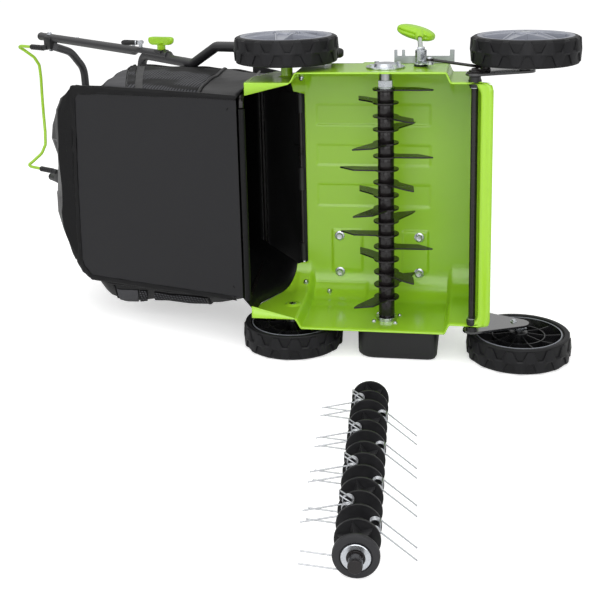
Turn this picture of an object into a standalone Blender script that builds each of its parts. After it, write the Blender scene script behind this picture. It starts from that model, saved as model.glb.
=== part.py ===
"""Lawn scarifier with its catcher bag and its spare tine reel, lying on its left side.

+X is the machine's front, +Y its upward direction and +Z its right side, so every wheel, rotor
and hinge axis runs along Z. The origin is on the floor, under the knife rotor's axis.
"""
import math

import bmesh
import bpy
from mathutils import Matrix, Vector

# Driving dimensions, in metres, from the rotor axis and the middle plane
GAP = 0.0003
DECK_HALF = 0.212
NARROW_HALF = 0.1965
DECK_LIP_Y = -0.057
DECK_TOP_Y = 0.1165
DECK_SHOULDER = 0.050
DECK_FRONT_X = 0.152
DECK_TAIL_X = -0.218
DECK_LIP = 0.017
STEP_REAR = (-0.147, -0.1355)
STEP_FRONT = (0.0965, 0.106)
STEEL = 0.002
PLASTIC = 0.0025

WHEEL_RADIUS = 0.085
TYRE_WIDTH = 0.043
TRACK = 0.4848
MIDDLE_Z = (TRACK + TYRE_WIDTH) / 2
REAR_WHEEL = (-0.161, 0.011)
FRONT_WHEEL = (0.2165, -0.005)
STUB_RADIUS = 0.006
WHEEL_STEPS = 18

KNIFE_PITCH = 0.0218
KNIFE_FIRST_Z = 0.178
KNIFE_RADIUS = 0.0765
KNIFE_STEEL = 0.0025
KNIFE_ANGLES = (0, 137, -44, 62, -122, 0, 180, -44, 137, -122, 62, 180, 0, 137, -44, 62, -122)
SHAFT_RADIUS = 0.010
SPACER_RADIUS = 0.0132
BEARING_RADIUS = 0.0172

MOTOR_AXIS = (-0.022, 0.172)
BELT_Z = -0.238
ROTOR_PULLEY = 0.034
MOTOR_PULLEY = 0.017

CRANK_PIVOT = (0.1405, -0.042)
ROD_EYE = (0.156, -0.013)
ARM_CORNER = (0.158, 0.028)
ARM_Z = 0.206
ARM_STEEL = 0.004
LEVER_PIVOT = (0.055, 0.018)
ROD_START = (0.0705, -0.012)

FLAP_HINGE = (-0.1585, 0.1200)
MOUTH_BOTTOM = (-0.231, -0.0415)
MOUTH_TOP = (-0.250, 0.235)

TUBE = 0.0095
HANDLE_FOOT = (-0.215, 0.135, 0.2251)
HANDLE_HEEL = (-0.250, 0.170, 0.2251)
HANDLE_ELBOW = (-0.338, 0.258, 0.2165)
HANDLE_LINE = Vector((-0.714, 0.700, 0))
HANDLE_BEND = (-0.402, 0.322, 0.176)
HANDLE_JOINT_Z = 0.1805
FOLD_PIVOT = (-0.4905, 0.4088)
CLAMP_PIVOT = (-0.5539, 0.4709)
UPPER_END = (-0.920, 0.820, 0.1775)
BOW_JOINT = (-0.865, 0.765, 0.1580)
BOW_BENDS = ((-0.8530, 0.8350, 0.1370), (-0.8440, 0.8930, 0.0880), (-0.8438, 0.8970, 0.0400))
BOW_BAR = (-0.8438, 0.897)
BAIL_PIVOT = (-0.907, 0.788, 0.1535)

REEL_NEAR = (0.0221, -0.650)
REEL_FAR = (-0.0024, -0.250)
REEL_DISC = 0.0269
REEL_GAPS = 13
TINE_TIP_LEFT = (-0.0684, 0.0010)
TINE_TIP_RIGHT = (0.0672, 0.0255)
COIL_RADIUS = 0.0062
COIL_LEFT = (-0.0135, -0.0172)
COIL_RIGHT = (0.0189, -0.0065)
SPRING_WIRE = 0.0010


# Helpers

def clear_scene():
    for obj in list(bpy.data.objects):
        bpy.data.objects.remove(obj)


def material(name, colour, roughness, metallic=0.0):
    mat = bpy.data.materials.new(name)
    mat.use_nodes = True
    shader = mat.node_tree.nodes["Principled BSDF"]
    shader.inputs["Base Color"].default_value = (*colour, 1)
    shader.inputs["Roughness"].default_value = roughness
    shader.inputs["Metallic"].default_value = metallic
    mat.diffuse_color = (*colour, 1)
    return mat


def collection(name):
    group = bpy.data.collections.new(name)
    bpy.context.scene.collection.children.link(group)
    return group


def empty(name, location):
    obj = bpy.data.objects.new(name, None)
    obj.location = location
    PARTS.objects.link(obj)
    return obj


def place(name, data, mat, pivot, parent, group):
    obj = bpy.data.objects.new(name, data)
    obj.location = pivot
    obj.parent = parent
    group.objects.link(obj)
    if mat:
        data.materials.append(mat)
    return obj


def solid(name, bm, mat, pivot=(0, 0, 0), parent=None):
    """Turn a bmesh, drawn in its parent's frame, into a node whose origin is at pivot."""
    bmesh.ops.recalc_face_normals(bm, faces=bm.faces)
    return sheet(name, bm, mat, pivot, parent)


def sheet(name, bm, mat, pivot=(0, 0, 0), parent=None):
    """The same for an open surface, whose normals are already right."""
    bmesh.ops.translate(bm, vec=-Vector(pivot), verts=bm.verts)
    mesh = bpy.data.meshes.new(name)
    bm.to_mesh(mesh)
    bm.free()
    mesh.shade_smooth()
    mesh.set_sharp_from_angle(angle=math.radians(35))
    return place(name, mesh, mat, pivot, parent or MACHINE, PARTS)


def cutter(name, bm):
    bmesh.ops.recalc_face_normals(bm, faces=bm.faces)
    mesh = bpy.data.meshes.new(name)
    bm.to_mesh(mesh)
    bm.free()
    obj = place(name, mesh, None, (0, 0, 0), MACHINE, CUTTERS)
    obj.hide_render = True
    obj.display_type = "WIRE"
    return obj


def boolean(obj, other, operation="DIFFERENCE"):
    mod = obj.modifiers.new(other.name, "BOOLEAN")
    mod.operation = operation
    mod.object = other


def fused(name, bm, rest, mat, pivot=(0, 0, 0)):
    """One solid welded from overlapping shapes: bm, and all those in rest."""
    obj = solid(name, bm, mat, pivot)
    boolean(obj, cutter(name + "_rest", rest), "UNION")
    obj.modifiers[-1].use_self = True
    return obj


def bore_hole(obj, radius, z0, z1, centre=(0, 0), steps=12):
    """Cut a hole along Z whose flats stay clear of a bar of that radius."""
    bm = bmesh.new()
    cylinder(bm, (radius + GAP) / math.cos(math.pi / steps), (*centre, z0), (*centre, z1), steps)
    boolean(obj, cutter(obj.name + "_bore", bm))


def thicken(obj, thickness):
    mod = obj.modifiers.new("thickness", "SOLIDIFY")
    mod.thickness = thickness
    mod.offset = -1
    mod.use_even_offset = True


def cylinder(bm, radius, start, end, sides=16, far_radius=None):
    start, end = Vector(start), Vector(end)
    turn = (end - start).to_track_quat("Z", "Y").to_matrix().to_4x4()
    bmesh.ops.create_cone(
        bm, cap_ends=True, segments=sides, radius1=radius,
        radius2=radius if far_radius is None else far_radius,
        depth=(end - start).length, matrix=Matrix.Translation((start + end) / 2) @ turn)


def box(bm, low, high, matrix=None):
    low, high = Vector(low), Vector(high)
    size = Matrix.Diagonal((*(high - low), 1))
    place_at = Matrix.Translation((low + high) / 2) @ size
    return bmesh.ops.create_cube(bm, size=1, matrix=(matrix or Matrix()) @ place_at)["verts"]


def turned(bm, profile, centre=(0, 0), steps=24):
    """Spin a closed (radius, z) profile round a line along Z."""
    verts = [bm.verts.new((centre[0] + r, centre[1], z)) for r, z in profile]
    edges = [bm.edges.new((a, b)) for a, b in zip(verts, verts[1:] + verts[:1])]
    bmesh.ops.spin(bm, geom=verts + edges, cent=(*centre, 0), axis=(0, 0, 1), steps=steps,
                   angle=math.tau, use_merge=True, use_duplicate=False)


def ring(bm, outer, inner, z0, z1, centre=(0, 0), steps=20):
    turned(bm, [(inner, z0), (outer, z0), (outer, z1), (inner, z1)], centre, steps)


def plate(bm, outline, z0, z1, holes=()):
    """A flat plate from an outline and round holes (x, y, radius) in XY."""
    loops = [list(outline)] + [arc((x, y), r, 0, 360, 8)[:-1] for x, y, r in holes]
    edges = []
    for loop in loops:
        verts = [bm.verts.new((x, y, z0)) for x, y in loop]
        edges += [bm.edges.new((a, b)) for a, b in zip(verts, verts[1:] + verts[:1])]
    faces = bmesh.ops.triangle_fill(bm, use_beauty=True, edges=edges)["geom"]
    faces = [f for f in faces if isinstance(f, bmesh.types.BMFace)]
    raised = bmesh.ops.extrude_face_region(bm, geom=faces, use_keep_orig=True)["geom"]
    bmesh.ops.translate(bm, vec=(0, 0, z1 - z0),
                        verts=[v for v in raised if isinstance(v, bmesh.types.BMVert)])


def arc(centre, radius, start, end, steps):
    angles = [math.radians(start + (end - start) * k / steps) for k in range(steps + 1)]
    return [(centre[0] + radius * math.cos(a), centre[1] + radius * math.sin(a)) for a in angles]


def hull(c1, r1, c2, r2, steps=10):
    """The outline round two circles, like a belt or a lug plate."""
    d = Vector(c2) - Vector(c1)
    lean = math.degrees(math.atan2(d.y, d.x))
    spread = math.degrees(math.acos((r1 - r2) / d.length))
    return (arc(c2, r2, lean - spread, lean + spread, steps)
            + arc(c1, r1, lean + spread, lean + 360 - spread, steps))


def rounded(points, radius, steps=4):
    """A path whose inner corners are replaced by arcs of about that radius."""
    points = [Vector(p) for p in points]
    path = [points[0]]
    for before, corner, after in zip(points, points[1:], points[2:]):
        a, b = (before - corner).normalized(), (after - corner).normalized()
        half = a.angle(b) / 2
        reach = min(radius / math.tan(half), (before - corner).length * 0.45,
                    (after - corner).length * 0.45)
        for k in range(steps + 1):
            t = k / steps
            path.append(corner + a * reach * (1 - t) ** 2 + b * reach * t ** 2)
    return path + [points[-1]]


def wire(name, strokes, radius, mat, pivot=(0, 0, 0), parent=None, resolution=2):
    """One tube along each stroke, as a curve object with filled caps."""
    curve = bpy.data.curves.new(name, "CURVE")
    curve.dimensions = "3D"
    curve.bevel_depth = radius
    curve.bevel_resolution = resolution
    curve.use_fill_caps = True
    for stroke in strokes:
        spline = curve.splines.new("POLY")
        spline.points.add(len(stroke) - 1)
        for point, place_at in zip(spline.points, stroke):
            point.co = (*(Vector(place_at) - Vector(pivot)), 1)
    return place(name, curve, mat, pivot, parent or MACHINE, PARTS)


def meshed(obj):
    """A curve object made into a mesh with its caps welded on, so that it can be cut."""
    evaluated = obj.evaluated_get(bpy.context.evaluated_depsgraph_get())
    mesh = bpy.data.meshes.new_from_object(evaluated)
    bm = bmesh.new()
    bm.from_mesh(mesh)
    bmesh.ops.remove_doubles(bm, verts=bm.verts, dist=1e-5)
    bm.to_mesh(mesh)
    bm.free()
    name, place_at, parent = obj.name, obj.location.copy(), obj.parent
    bpy.data.objects.remove(obj)
    return place(name, mesh, None, place_at, parent, PARTS)


def mirrored(points):
    """A path carried on across the middle plane, back down the left side."""
    return [Vector(p) for p in points] + [Vector((p[0], p[1], -p[2])) for p in reversed(points)]


def loft(bm, sections):
    rows = [[bm.verts.new(p) for p in section] for section in sections]
    for near, far in zip(rows, rows[1:]):
        for a, b, c, d in zip(near, near[1:], far[1:], far):
            bm.faces.new((a, b, c, d))
    return rows


# Deck

def deck_section(x, half, grow=0.0):
    """The pressed deck's outline from the left lip over the top to the right lip."""
    radius = DECK_SHOULDER + grow
    centre_y = DECK_TOP_Y - DECK_SHOULDER
    shoulder = [(half - DECK_SHOULDER + dz, centre_y + dy)
                for dz, dy in arc((0, 0), radius, 0, 90, 4)]
    side = [(half + grow, DECK_LIP_Y)] + shoulder
    return ([Vector((x, y, -z)) for z, y in side]
            + [Vector((x, y, z)) for z, y in reversed(side)])


def deck_surface():
    bm = bmesh.new()
    rows = loft(bm, [deck_section(x, half) for x, half in (
        (DECK_TAIL_X, NARROW_HALF), (STEP_REAR[0], NARROW_HALF), (STEP_REAR[1], DECK_HALF),
        (STEP_FRONT[0], DECK_HALF), (STEP_FRONT[1], NARROW_HALF), (DECK_FRONT_X, NARROW_HALF))])
    front = rows[-1]
    bm.faces.new(front)
    rim = [bm.edges.get((a, b)) for a, b in zip(front, front[1:])]
    bmesh.ops.bevel(bm, geom=rim, offset=0.02, offset_type="OFFSET", segments=3, profile=0.5,
                    affect="EDGES")
    tail = Vector((DECK_TAIL_X, 0.006, 0))
    slope = Vector((-0.170, DECK_TOP_Y, 0)) - tail
    bmesh.ops.bisect_plane(bm, geom=bm.verts[:] + bm.edges[:] + bm.faces[:], plane_co=tail,
                           plane_no=(-slope.y, slope.x, 0), clear_outer=True)
    return bm


def turn_out_lips(bm):
    """The flat lip along the front edge and the narrowing lips under the rear wings."""
    def on_edge(edge, test):
        return edge.is_boundary and all(
            abs(v.co.y - DECK_LIP_Y) < 1e-5 and test(v.co.x) for v in edge.verts)

    front = [e for e in bm.edges if on_edge(e, lambda x: x > DECK_FRONT_X - 0.0201)]
    rear = [e for e in bm.edges if on_edge(e, lambda x: x < STEP_REAR[0] + 1e-4)]
    for edges in (front, rear):
        new = bmesh.ops.extrude_edge_only(bm, edges=edges)["geom"]
        for vert in (v for v in new if isinstance(v, bmesh.types.BMVert)):
            if edges is front:
                vert.co.x += DECK_LIP
            else:
                share = (STEP_REAR[0] - vert.co.x) / (STEP_REAR[0] - DECK_TAIL_X)
                vert.co.z -= math.copysign(0.003 + 0.018 * share, vert.co.z)


def make_deck():
    bm = deck_surface()
    turn_out_lips(bm)
    bmesh.ops.recalc_face_normals(bm, faces=bm.faces)
    if max(bm.faces, key=lambda f: f.calc_center_median().y).normal.y < 0:
        bmesh.ops.reverse_faces(bm, faces=bm.faces)
    deck = sheet("deck_shell", bm, GREEN)
    thicken(deck, STEEL)

    bosses = bmesh.new()
    for side in (-1, 1):
        cylinder(bosses, 0.0095, (*REAR_WHEEL, side * (NARROW_HALF - 0.001)),
                 (*REAR_WHEEL, side * 0.2125), 12)
    boolean(deck, cutter("axle_bosses", bosses), "UNION")

    cuts = bmesh.new()
    box(cuts, (DECK_TAIL_X - 0.01, 0.09, -0.153), (-0.150, 0.13, 0.153))
    boolean(deck, cutter("flap_opening", cuts))
    holes = bmesh.new()
    for side in (-1, 1):
        cylinder(holes, BEARING_RADIUS + GAP, (0, 0, side * 0.18), (0, 0, side * 0.23), 24)
        cylinder(holes, 0.0085 + GAP, (*CRANK_PIVOT, side * 0.18), (*CRANK_PIVOT, side * 0.23), 12)
        cylinder(holes, STUB_RADIUS + GAP, (*REAR_WHEEL, side * 0.18),
                 (*REAR_WHEEL, side * 0.23), 12)
    boolean(deck, cutter("deck_holes", holes))


# Motor, belt drive and their covers

def make_motor():
    bm = bmesh.new()
    turned(bm, [(0.0067, -0.175), (0.022, -0.175), (0.047, -0.163), (0.047, -0.062),
                (0.030, -0.050), (0.0067, -0.050)], MOTOR_AXIS, 20)
    foot = bmesh.new()
    plate_top = DECK_TOP_Y + GAP + 0.003
    box(foot, (-0.104, DECK_TOP_Y + GAP, -0.183), (0.063, plate_top, -0.090))
    box(foot, (-0.050, plate_top - 0.001, -0.158), (0.006, plate_top + 0.010, -0.092))
    fused("motor_body", bm, foot, BARE_STEEL)

    bm = bmesh.new()
    cylinder(bm, 0.0062, (*MOTOR_AXIS, -0.249), (*MOTOR_AXIS, -0.044), 12)
    solid("motor_shaft", bm, BARE_STEEL, (*MOTOR_AXIS, BELT_Z))
    make_pulley("motor_pulley", MOTOR_AXIS, MOTOR_PULLEY, 0.0062 + GAP)
    make_pulley("rotor_pulley", (0, 0), ROTOR_PULLEY, SHAFT_RADIUS + GAP)

    bm = bmesh.new()
    inner = hull((0, 0), ROTOR_PULLEY + GAP, MOTOR_AXIS, MOTOR_PULLEY + GAP)
    outer = hull((0, 0), ROTOR_PULLEY + 0.0035, MOTOR_AXIS, MOTOR_PULLEY + 0.0035)
    loops = [[bm.verts.new((x, y, z)) for x, y in loop]
             for loop, z in ((inner, BELT_Z - 0.006), (outer, BELT_Z - 0.006),
                             (outer, BELT_Z + 0.006), (inner, BELT_Z + 0.006))]
    for near, far in zip(loops, loops[1:] + loops[:1]):
        for k in range(len(near)):
            bm.faces.new((near[k - 1], near[k], far[k], far[k - 1]))
    solid("drive_belt", bm, RUBBER)


def make_pulley(name, centre, radius, bore):
    bm = bmesh.new()
    low, high = BELT_Z - 0.009, BELT_Z + 0.009
    groove = radius - 2 * GAP
    turned(bm, [(bore, low), (radius + 0.003, low), (radius + 0.003, low + 0.002),
                (groove, low + 0.002), (groove, high - 0.002), (radius + 0.003, high - 0.002),
                (radius + 0.003, high), (bore, high)], centre, 20)
    solid(name, bm, BARE_STEEL, (*centre, BELT_Z))


def make_hood():
    bm = bmesh.new()
    verts = box(bm, (-0.108, 0.070, -0.2113), (0.086, 0.232, 0.030))
    bottom = [f for f in bm.faces if f.normal.y < -0.9]
    bmesh.ops.delete(bm, geom=bottom, context="FACES_ONLY")
    edges = [e for e in bm.edges if not e.is_boundary]
    bmesh.ops.bevel(bm, geom=edges, offset=0.022, segments=3, profile=0.5, affect="EDGES")
    hood = sheet("motor_hood", bm, BLACK_PLASTIC)
    thicken(hood, PLASTIC)

    block = bmesh.new()
    rows = loft(block, [deck_section(x, DECK_HALF, GAP * 2) for x in (-0.13, 0.0935)])
    for row in rows:
        block.faces.new(row)
    block.faces.new((rows[0][0], rows[0][-1], rows[1][-1], rows[1][0]))
    boolean(hood, cutter("deck_block", block))

    slots = bmesh.new()
    for k in range(6):
        x = -0.072 + 0.024 * k
        box(slots, (x, 0.215, -0.150), (x + 0.004, 0.240, -0.040))
    boolean(hood, cutter("vent_slots", slots))
    shaft = bmesh.new()
    cylinder(shaft, 0.009, (*MOTOR_AXIS, -0.22), (*MOTOR_AXIS, -0.20), 12)
    boolean(hood, cutter("shaft_hole", shaft))


def make_drive_cover():
    """A deep plastic cap over both pulleys, whose flat outer face the machine lies on."""
    low_x, high_x, low_y, high_y = -0.046, 0.085, -0.046, 0.214
    outline = (arc((low_x + 0.028, low_y + 0.028), 0.028, 180, 270, 4)
               + arc((high_x - 0.014, low_y + 0.014), 0.014, 270, 360, 3)
               + arc((high_x - 0.045, high_y - 0.045), 0.045, 0, 90, 4)
               + arc((low_x + 0.040, high_y - 0.040), 0.040, 90, 180, 4))
    bm = bmesh.new()
    open_z = -(DECK_HALF + GAP)
    face = bm.faces.new([bm.verts.new((x, y, open_z)) for x, y in outline])
    moved = bmesh.ops.extrude_face_region(bm, geom=[face])["geom"]
    bmesh.ops.translate(bm, vec=(0, 0, -(MIDDLE_Z + open_z)),
                        verts=[v for v in moved if isinstance(v, bmesh.types.BMVert)])
    bmesh.ops.delete(bm, geom=[f for f in bm.faces if f.calc_center_median().z > open_z - 1e-5],
                     context="FACES_ONLY")
    rim = [e for e in bm.edges if all(v.co.z < -MIDDLE_Z + 1e-5 for v in e.verts)]
    bmesh.ops.bevel(bm, geom=rim, offset=0.007, segments=2, profile=0.5, affect="EDGES")
    bmesh.ops.recalc_face_normals(bm, faces=bm.faces)
    if min(bm.faces, key=lambda f: f.calc_center_median().z).normal.z > 0:
        bmesh.ops.reverse_faces(bm, faces=bm.faces)
    thicken(sheet("drive_cover", bm, BLACK_PLASTIC), PLASTIC)


# Knife rotor

def make_rotor():
    bm = bmesh.new()
    cylinder(bm, SHAFT_RADIUS, (0, 0, -0.2495), (0, 0, 0.2118), 16)
    solid("rotor_shaft", bm, BARE_STEEL)

    top = KNIFE_FIRST_Z + KNIFE_STEEL / 2
    sleeve, knives = bmesh.new(), bmesh.new()
    cylinder(sleeve, SPACER_RADIUS, (0, 0, -0.2040), (0, 0, top - 0.0002), 12)
    collar = arc((0, 0), 0.021, 40, 320, 8)
    blade = [(0.060, -0.0125), (KNIFE_RADIUS, -0.0090), (0.052, 0.0125)]
    for k, angle in enumerate(KNIFE_ANGLES):
        turn = Matrix.Rotation(math.radians(angle), 2)
        outline = [turn @ Vector(p) for p in collar + blade]
        z = top - k * KNIFE_PITCH
        plate(knives, outline, z - KNIFE_STEEL, z)
    stack = fused("knife_stack", sleeve, knives, BLACK_STEEL)
    bore_hole(stack, SHAFT_RADIUS, -0.21, 0.19)

    base = top + GAP
    bm, rest = bmesh.new(), bmesh.new()
    cylinder(bm, 0.0145, (0, 0, base), (0, 0, base + 0.002), 16)
    cylinder(rest, 0.0128, (0, 0, base + 0.0015), (0, 0, base + 0.013), 6)
    nut = fused("rotor_nut", bm, rest, ZINC)
    bore_hole(nut, SHAFT_RADIUS, 0.17, 0.20)


def make_bearings():
    for name, side in (("right", 1), ("left", -1)):
        bm = bmesh.new()
        z0, z1 = sorted((side * 0.2043, side * 0.2122))
        ring(bm, BEARING_RADIUS, SHAFT_RADIUS + GAP, z0, z1, steps=24)
        solid("bearing_" + name, bm, ZINC)
    base = DECK_HALF + GAP
    bm = bmesh.new()
    cylinder(bm, 0.031, (0, 0, base), (0, 0, base + 0.0025), 24)
    rest = bmesh.new()
    cylinder(rest, 0.021, (0, 0, base + 0.001), (0, 0, base + 0.0075), 24, 0.017)
    for k in range(4):
        a = math.radians(-52 + 90 * k)
        at = (0.0255 * math.cos(a), 0.0255 * math.sin(a))
        cylinder(rest, 0.0042, (*at, base + 0.001), (*at, base + 0.0075), 6)
    fused("bearing_flange", bm, rest, ZINC)


# Wheels and axles

def make_wheel(name, centre, side):
    pivot = (*centre, side * TRACK / 2)
    half = TYRE_WIDTH / 2
    r = WHEEL_RADIUS
    bm = bmesh.new()
    turned(bm, [(0.0745, -half), (r - 0.006, -half), (r, -half + 0.007), (r, half - 0.007),
                (r - 0.006, half), (0.0745, half), (0.0735, 0)], steps=WHEEL_STEPS)
    bmesh.ops.translate(bm, vec=pivot, verts=bm.verts)
    solid("tyre_" + name, bm, RUBBER, pivot)

    out = side
    bore = STUB_RADIUS + GAP
    bm = bmesh.new()
    turned(bm, [(bore, -out * 0.028), (0.018, -out * 0.028), (0.020, -out * 0.002),
                (0.066, -out * 0.004), (0.0690, -out * 0.018), (0.0730, -out * 0.018),
                (0.0730, out * 0.019), (0.0690, out * 0.019), (0.064, out * 0.002),
                (0.022, out * 0.006), (0.019, out * 0.016), (bore, out * 0.016)],
           steps=WHEEL_STEPS)
    bmesh.ops.translate(bm, vec=pivot, verts=bm.verts)
    solid("rim_" + name, bm, RIM_GREY, pivot)


def stub(bm, rest, centre, side, start):
    """A wheel's stub axle from start outwards, with the cap that keeps the wheel on."""
    cylinder(bm, STUB_RADIUS, (*centre, side * start), (*centre, side * 0.2600), 12)
    cylinder(rest, 0.009, (*centre, side * 0.2590), (*centre, side * 0.2630), 12)


def make_rear_axle():
    for name, side in (("right", 1), ("left", -1)):
        bm, rest = bmesh.new(), bmesh.new()
        stub(bm, rest, REAR_WHEEL, side, 0.188)
        cylinder(rest, 0.0095, (*REAR_WHEEL, side * 0.1885), (*REAR_WHEEL, side * 0.183), 6)
        fused("rear_axle_" + name, bm, rest, ZINC)


def make_front_axle():
    pivot = (*CRANK_PIVOT, 0)
    bm = bmesh.new()
    cylinder(bm, 0.0055, (*CRANK_PIVOT, -(ARM_Z - GAP)), (*CRANK_PIVOT, ARM_Z - GAP), 12)
    solid("front_axle_rod", bm, BLACK_STEEL, pivot)
    for side, name in ((1, "right"), (-1, "left")):
        bm, rest = bmesh.new(), bmesh.new()
        z0, z1 = sorted((side * ARM_Z, side * (ARM_Z + ARM_STEEL)))
        outline = arc(CRANK_PIVOT, 0.0145, 166, 295, 5)
        outline += arc(FRONT_WHEEL, 0.0165, -65, 59.5, 6) + arc(ARM_CORNER, 0.011, 59.5, 166, 5)
        plate(bm, outline, z0, z1)
        stub(rest, rest, FRONT_WHEEL, side, ARM_Z + 0.002)
        if side > 0:
            cylinder(rest, 0.0026, (*ROD_EYE, ARM_Z + 0.002), (*ROD_EYE, 0.2170), 8)
        fused("crank_arm_" + name, bm, rest, BLACK_STEEL, pivot)


def make_depth_lever():
    pivot = (*LEVER_PIVOT, 0)
    neck, knee = Vector((*LEVER_PIVOT, 0.2320)), Vector((0.0485, 0.0920, 0.2515))
    bm, rest = bmesh.new(), bmesh.new()
    cylinder(bm, 0.0095, (*LEVER_PIVOT, DECK_HALF + GAP), (*LEVER_PIVOT, 0.2375), 10)
    cylinder(rest, 0.004, neck, knee, 8)
    plate(rest, hull(LEVER_PIVOT, 0.008, ROD_START, 0.006, 5), 0.2185, 0.2225)
    cylinder(rest, 0.0026, (*ROD_START, 0.2200), (*ROD_START, 0.2300), 8)
    fused("depth_lever", bm, rest, ZINC, pivot)

    grip = bmesh.new()
    bmesh.ops.create_uvsphere(grip, u_segments=12, v_segments=8, radius=1)
    size = Matrix.Diagonal((0.033, 0.021, 0.0115, 1))
    turn = Matrix.Rotation(math.radians(-18), 4, "Z") @ Matrix.Rotation(math.radians(14), 4, "Y")
    grip.transform(Matrix.Translation((0.0415, 0.1135, 0.2555)) @ turn @ size)
    grip = solid("depth_grip", grip, GREEN_PLASTIC, pivot)
    socket = bmesh.new()
    cylinder(socket, 0.0043, neck, knee + (knee - neck).normalized() * GAP, 8)
    boolean(grip, cutter("grip_socket", socket))

    start, end = Vector((*ROD_START, 0.2263)), Vector((*ROD_EYE, 0.2141))
    along = (end - start).normalized()
    bm, rest = bmesh.new(), bmesh.new()
    cylinder(bm, 0.0024, start + along * 0.004, end - along * 0.006, 8)
    ring(rest, 0.0062, 0.0029, 0.2243, 0.2283, ROD_START, 10)
    ring(rest, 0.0078, 0.0055, 0.2122, 0.2160, ROD_EYE, 12)
    fused("push_rod", bm, rest, BLACK_STEEL, (*ROD_START, 0))

    bm, rest = bmesh.new(), bmesh.new()
    y0, y1 = 0.050, 0.0525
    box(bm, (0.010, y0, DECK_HALF + GAP), (0.107, y1, 0.2245))
    for x0, x1 in ((0.010, 0.0150), (0.0225, 0.0275), (0.0995, 0.107)):
        box(rest, (x0, y0, 0.2235), (x1, y1, 0.2345))
    fused("notch_bracket", bm, rest, ZINC)


# Flap and bag

def make_flap():
    hinge = Vector((*FLAP_HINGE, 0))
    along = (Vector((*MOUTH_TOP, 0)) - hinge).normalized()
    normal = Vector((along.y, -along.x, 0))
    turn = Matrix.Translation(hinge) @ Matrix((
        (along.x, normal.x, 0, 0), (along.y, normal.y, 0, 0), (0, 0, -1, 0), (0, 0, 0, 1)))
    bm, rest = bmesh.new(), bmesh.new()
    box(bm, (-0.0010, 0.0046, -0.150), (0.0160, 0.0076, 0.150), turn)
    box(rest, (0.0150, 0.0046, -0.180), (0.190, 0.0076, 0.180), turn)
    for z0, z1 in ((-0.150, -0.118), (-0.020, 0.020), (0.118, 0.150)):
        ring(rest, 0.0068, 0.0035, z0, z1, FLAP_HINGE, 12)
    fused("rear_flap", bm, rest, BLACK_PLASTIC, (*FLAP_HINGE, 0))


def bag_side(depth):
    """Lower and upper edges of the bag at a depth from 0 at its mouth to 1 at its back."""
    low = Vector(MOUTH_BOTTOM).lerp(Vector((-0.562, 0.085)), depth)
    top = (Vector(MOUTH_TOP), Vector((-0.335, 0.300)), Vector((-0.435, 0.320)),
           Vector((-0.532, 0.342)))
    step = depth * 3
    k = min(int(step), 2)
    return low, top[k].lerp(top[k + 1], step - k)


def bag_section(depth, narrower=0.0, bulge=0.0, mouth=0.0):
    """The bag's cross-section, closed, with the sag of its left side towards the floor."""
    low, high = bag_side(depth)
    sag = 0.15 * depth if depth < 0.2 else 0.03 + 0.0376 * (depth - 0.2)
    section = []
    for share, half, hang, forward in (
            (0.02, 0.166, 0.5, 0.0), (0.14, 0.171, 1.0, 0.016), (0.36, 0.173, 1.0, 0.045),
            (0.62, 0.172, 0.5, 0.066), (0.92, 0.171, 0.0, -0.008), (1.0, 0.166, 0.0, -0.008)):
        x, y = low.lerp(high, share)
        x += mouth * forward - bulge * math.sin(math.pi * (0.1 + 0.8 * share))
        half += mouth * (0.014 + 0.1 * forward * (share < 0.5)) * (share < 1)
        half -= narrower * (1.0 - 0.6 * share)
        section.append((x, y, half, 0.0 if narrower else hang * sag))
    left = [Vector((x, y, -(half + down))) for x, y, half, down in section]
    right = [Vector((x, y, half)) for x, y, half, _ in reversed(section)]
    return left + right


def make_bag():
    bm = bmesh.new()
    sections = [bag_section(0.03, mouth=1.0), bag_section(0.14, mouth=0.75)]
    sections += [bag_section(d) for d in (0.3, 0.5, 0.7, 0.86)]
    sections += [bag_section(0.97, 0.006, 0.010), bag_section(1.0, 0.014, 0.045),
                 bag_section(1.0, 0.045, 0.072), bag_section(1.0, 0.090, 0.088)]
    rows = loft(bm, [s + s[:1] for s in sections])
    bm.faces.new(rows[-1][:-1])
    bmesh.ops.remove_doubles(bm, verts=bm.verts, dist=1e-6)
    bmesh.ops.recalc_face_normals(bm, faces=bm.faces)
    if min(bm.faces, key=lambda f: f.calc_center_median().x).normal.x > 0:
        bmesh.ops.reverse_faces(bm, faces=bm.faces)
    fabric = sheet("bag_fabric", bm, FABRIC)
    thicken(fabric, 0.003)

    start, end = Vector((*MOUTH_BOTTOM, 0)), Vector((-0.562, 0.085, 0))
    along = (end - start).normalized()
    down = Vector((-along.y, along.x, 0)) * -1
    turn = Matrix.Translation(start) @ Matrix((
        (along.x, down.x, 0, 0), (along.y, down.y, 0, 0), (0, 0, 1, 0), (0, 0, 0, 1)))
    bm = bmesh.new()
    box(bm, (0.006, -0.0005, -0.1700), (0.351, 0.0025, 0.1700), turn)
    solid("bag_panel", bm, PANEL)

    half = 0.1735
    hoop = rounded([(MOUTH_BOTTOM[0] + 0.004, MOUTH_BOTTOM[1] - 0.001, 0),
                    (MOUTH_BOTTOM[0] + 0.004, MOUTH_BOTTOM[1] - 0.001, half),
                    (MOUTH_TOP[0], MOUTH_TOP[1], half), (MOUTH_TOP[0], MOUTH_TOP[1], 0)], 0.02)
    path = mirrored(hoop[:-1])
    wire("bag_frame", [path[1:] + path[:1]], 0.004, BLACK_STEEL)


# Handle

def along_handle(start, distance, z):
    point = Vector((*start[:2], 0)) + HANDLE_LINE * distance
    return Vector((point.x, point.y, z))


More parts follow.
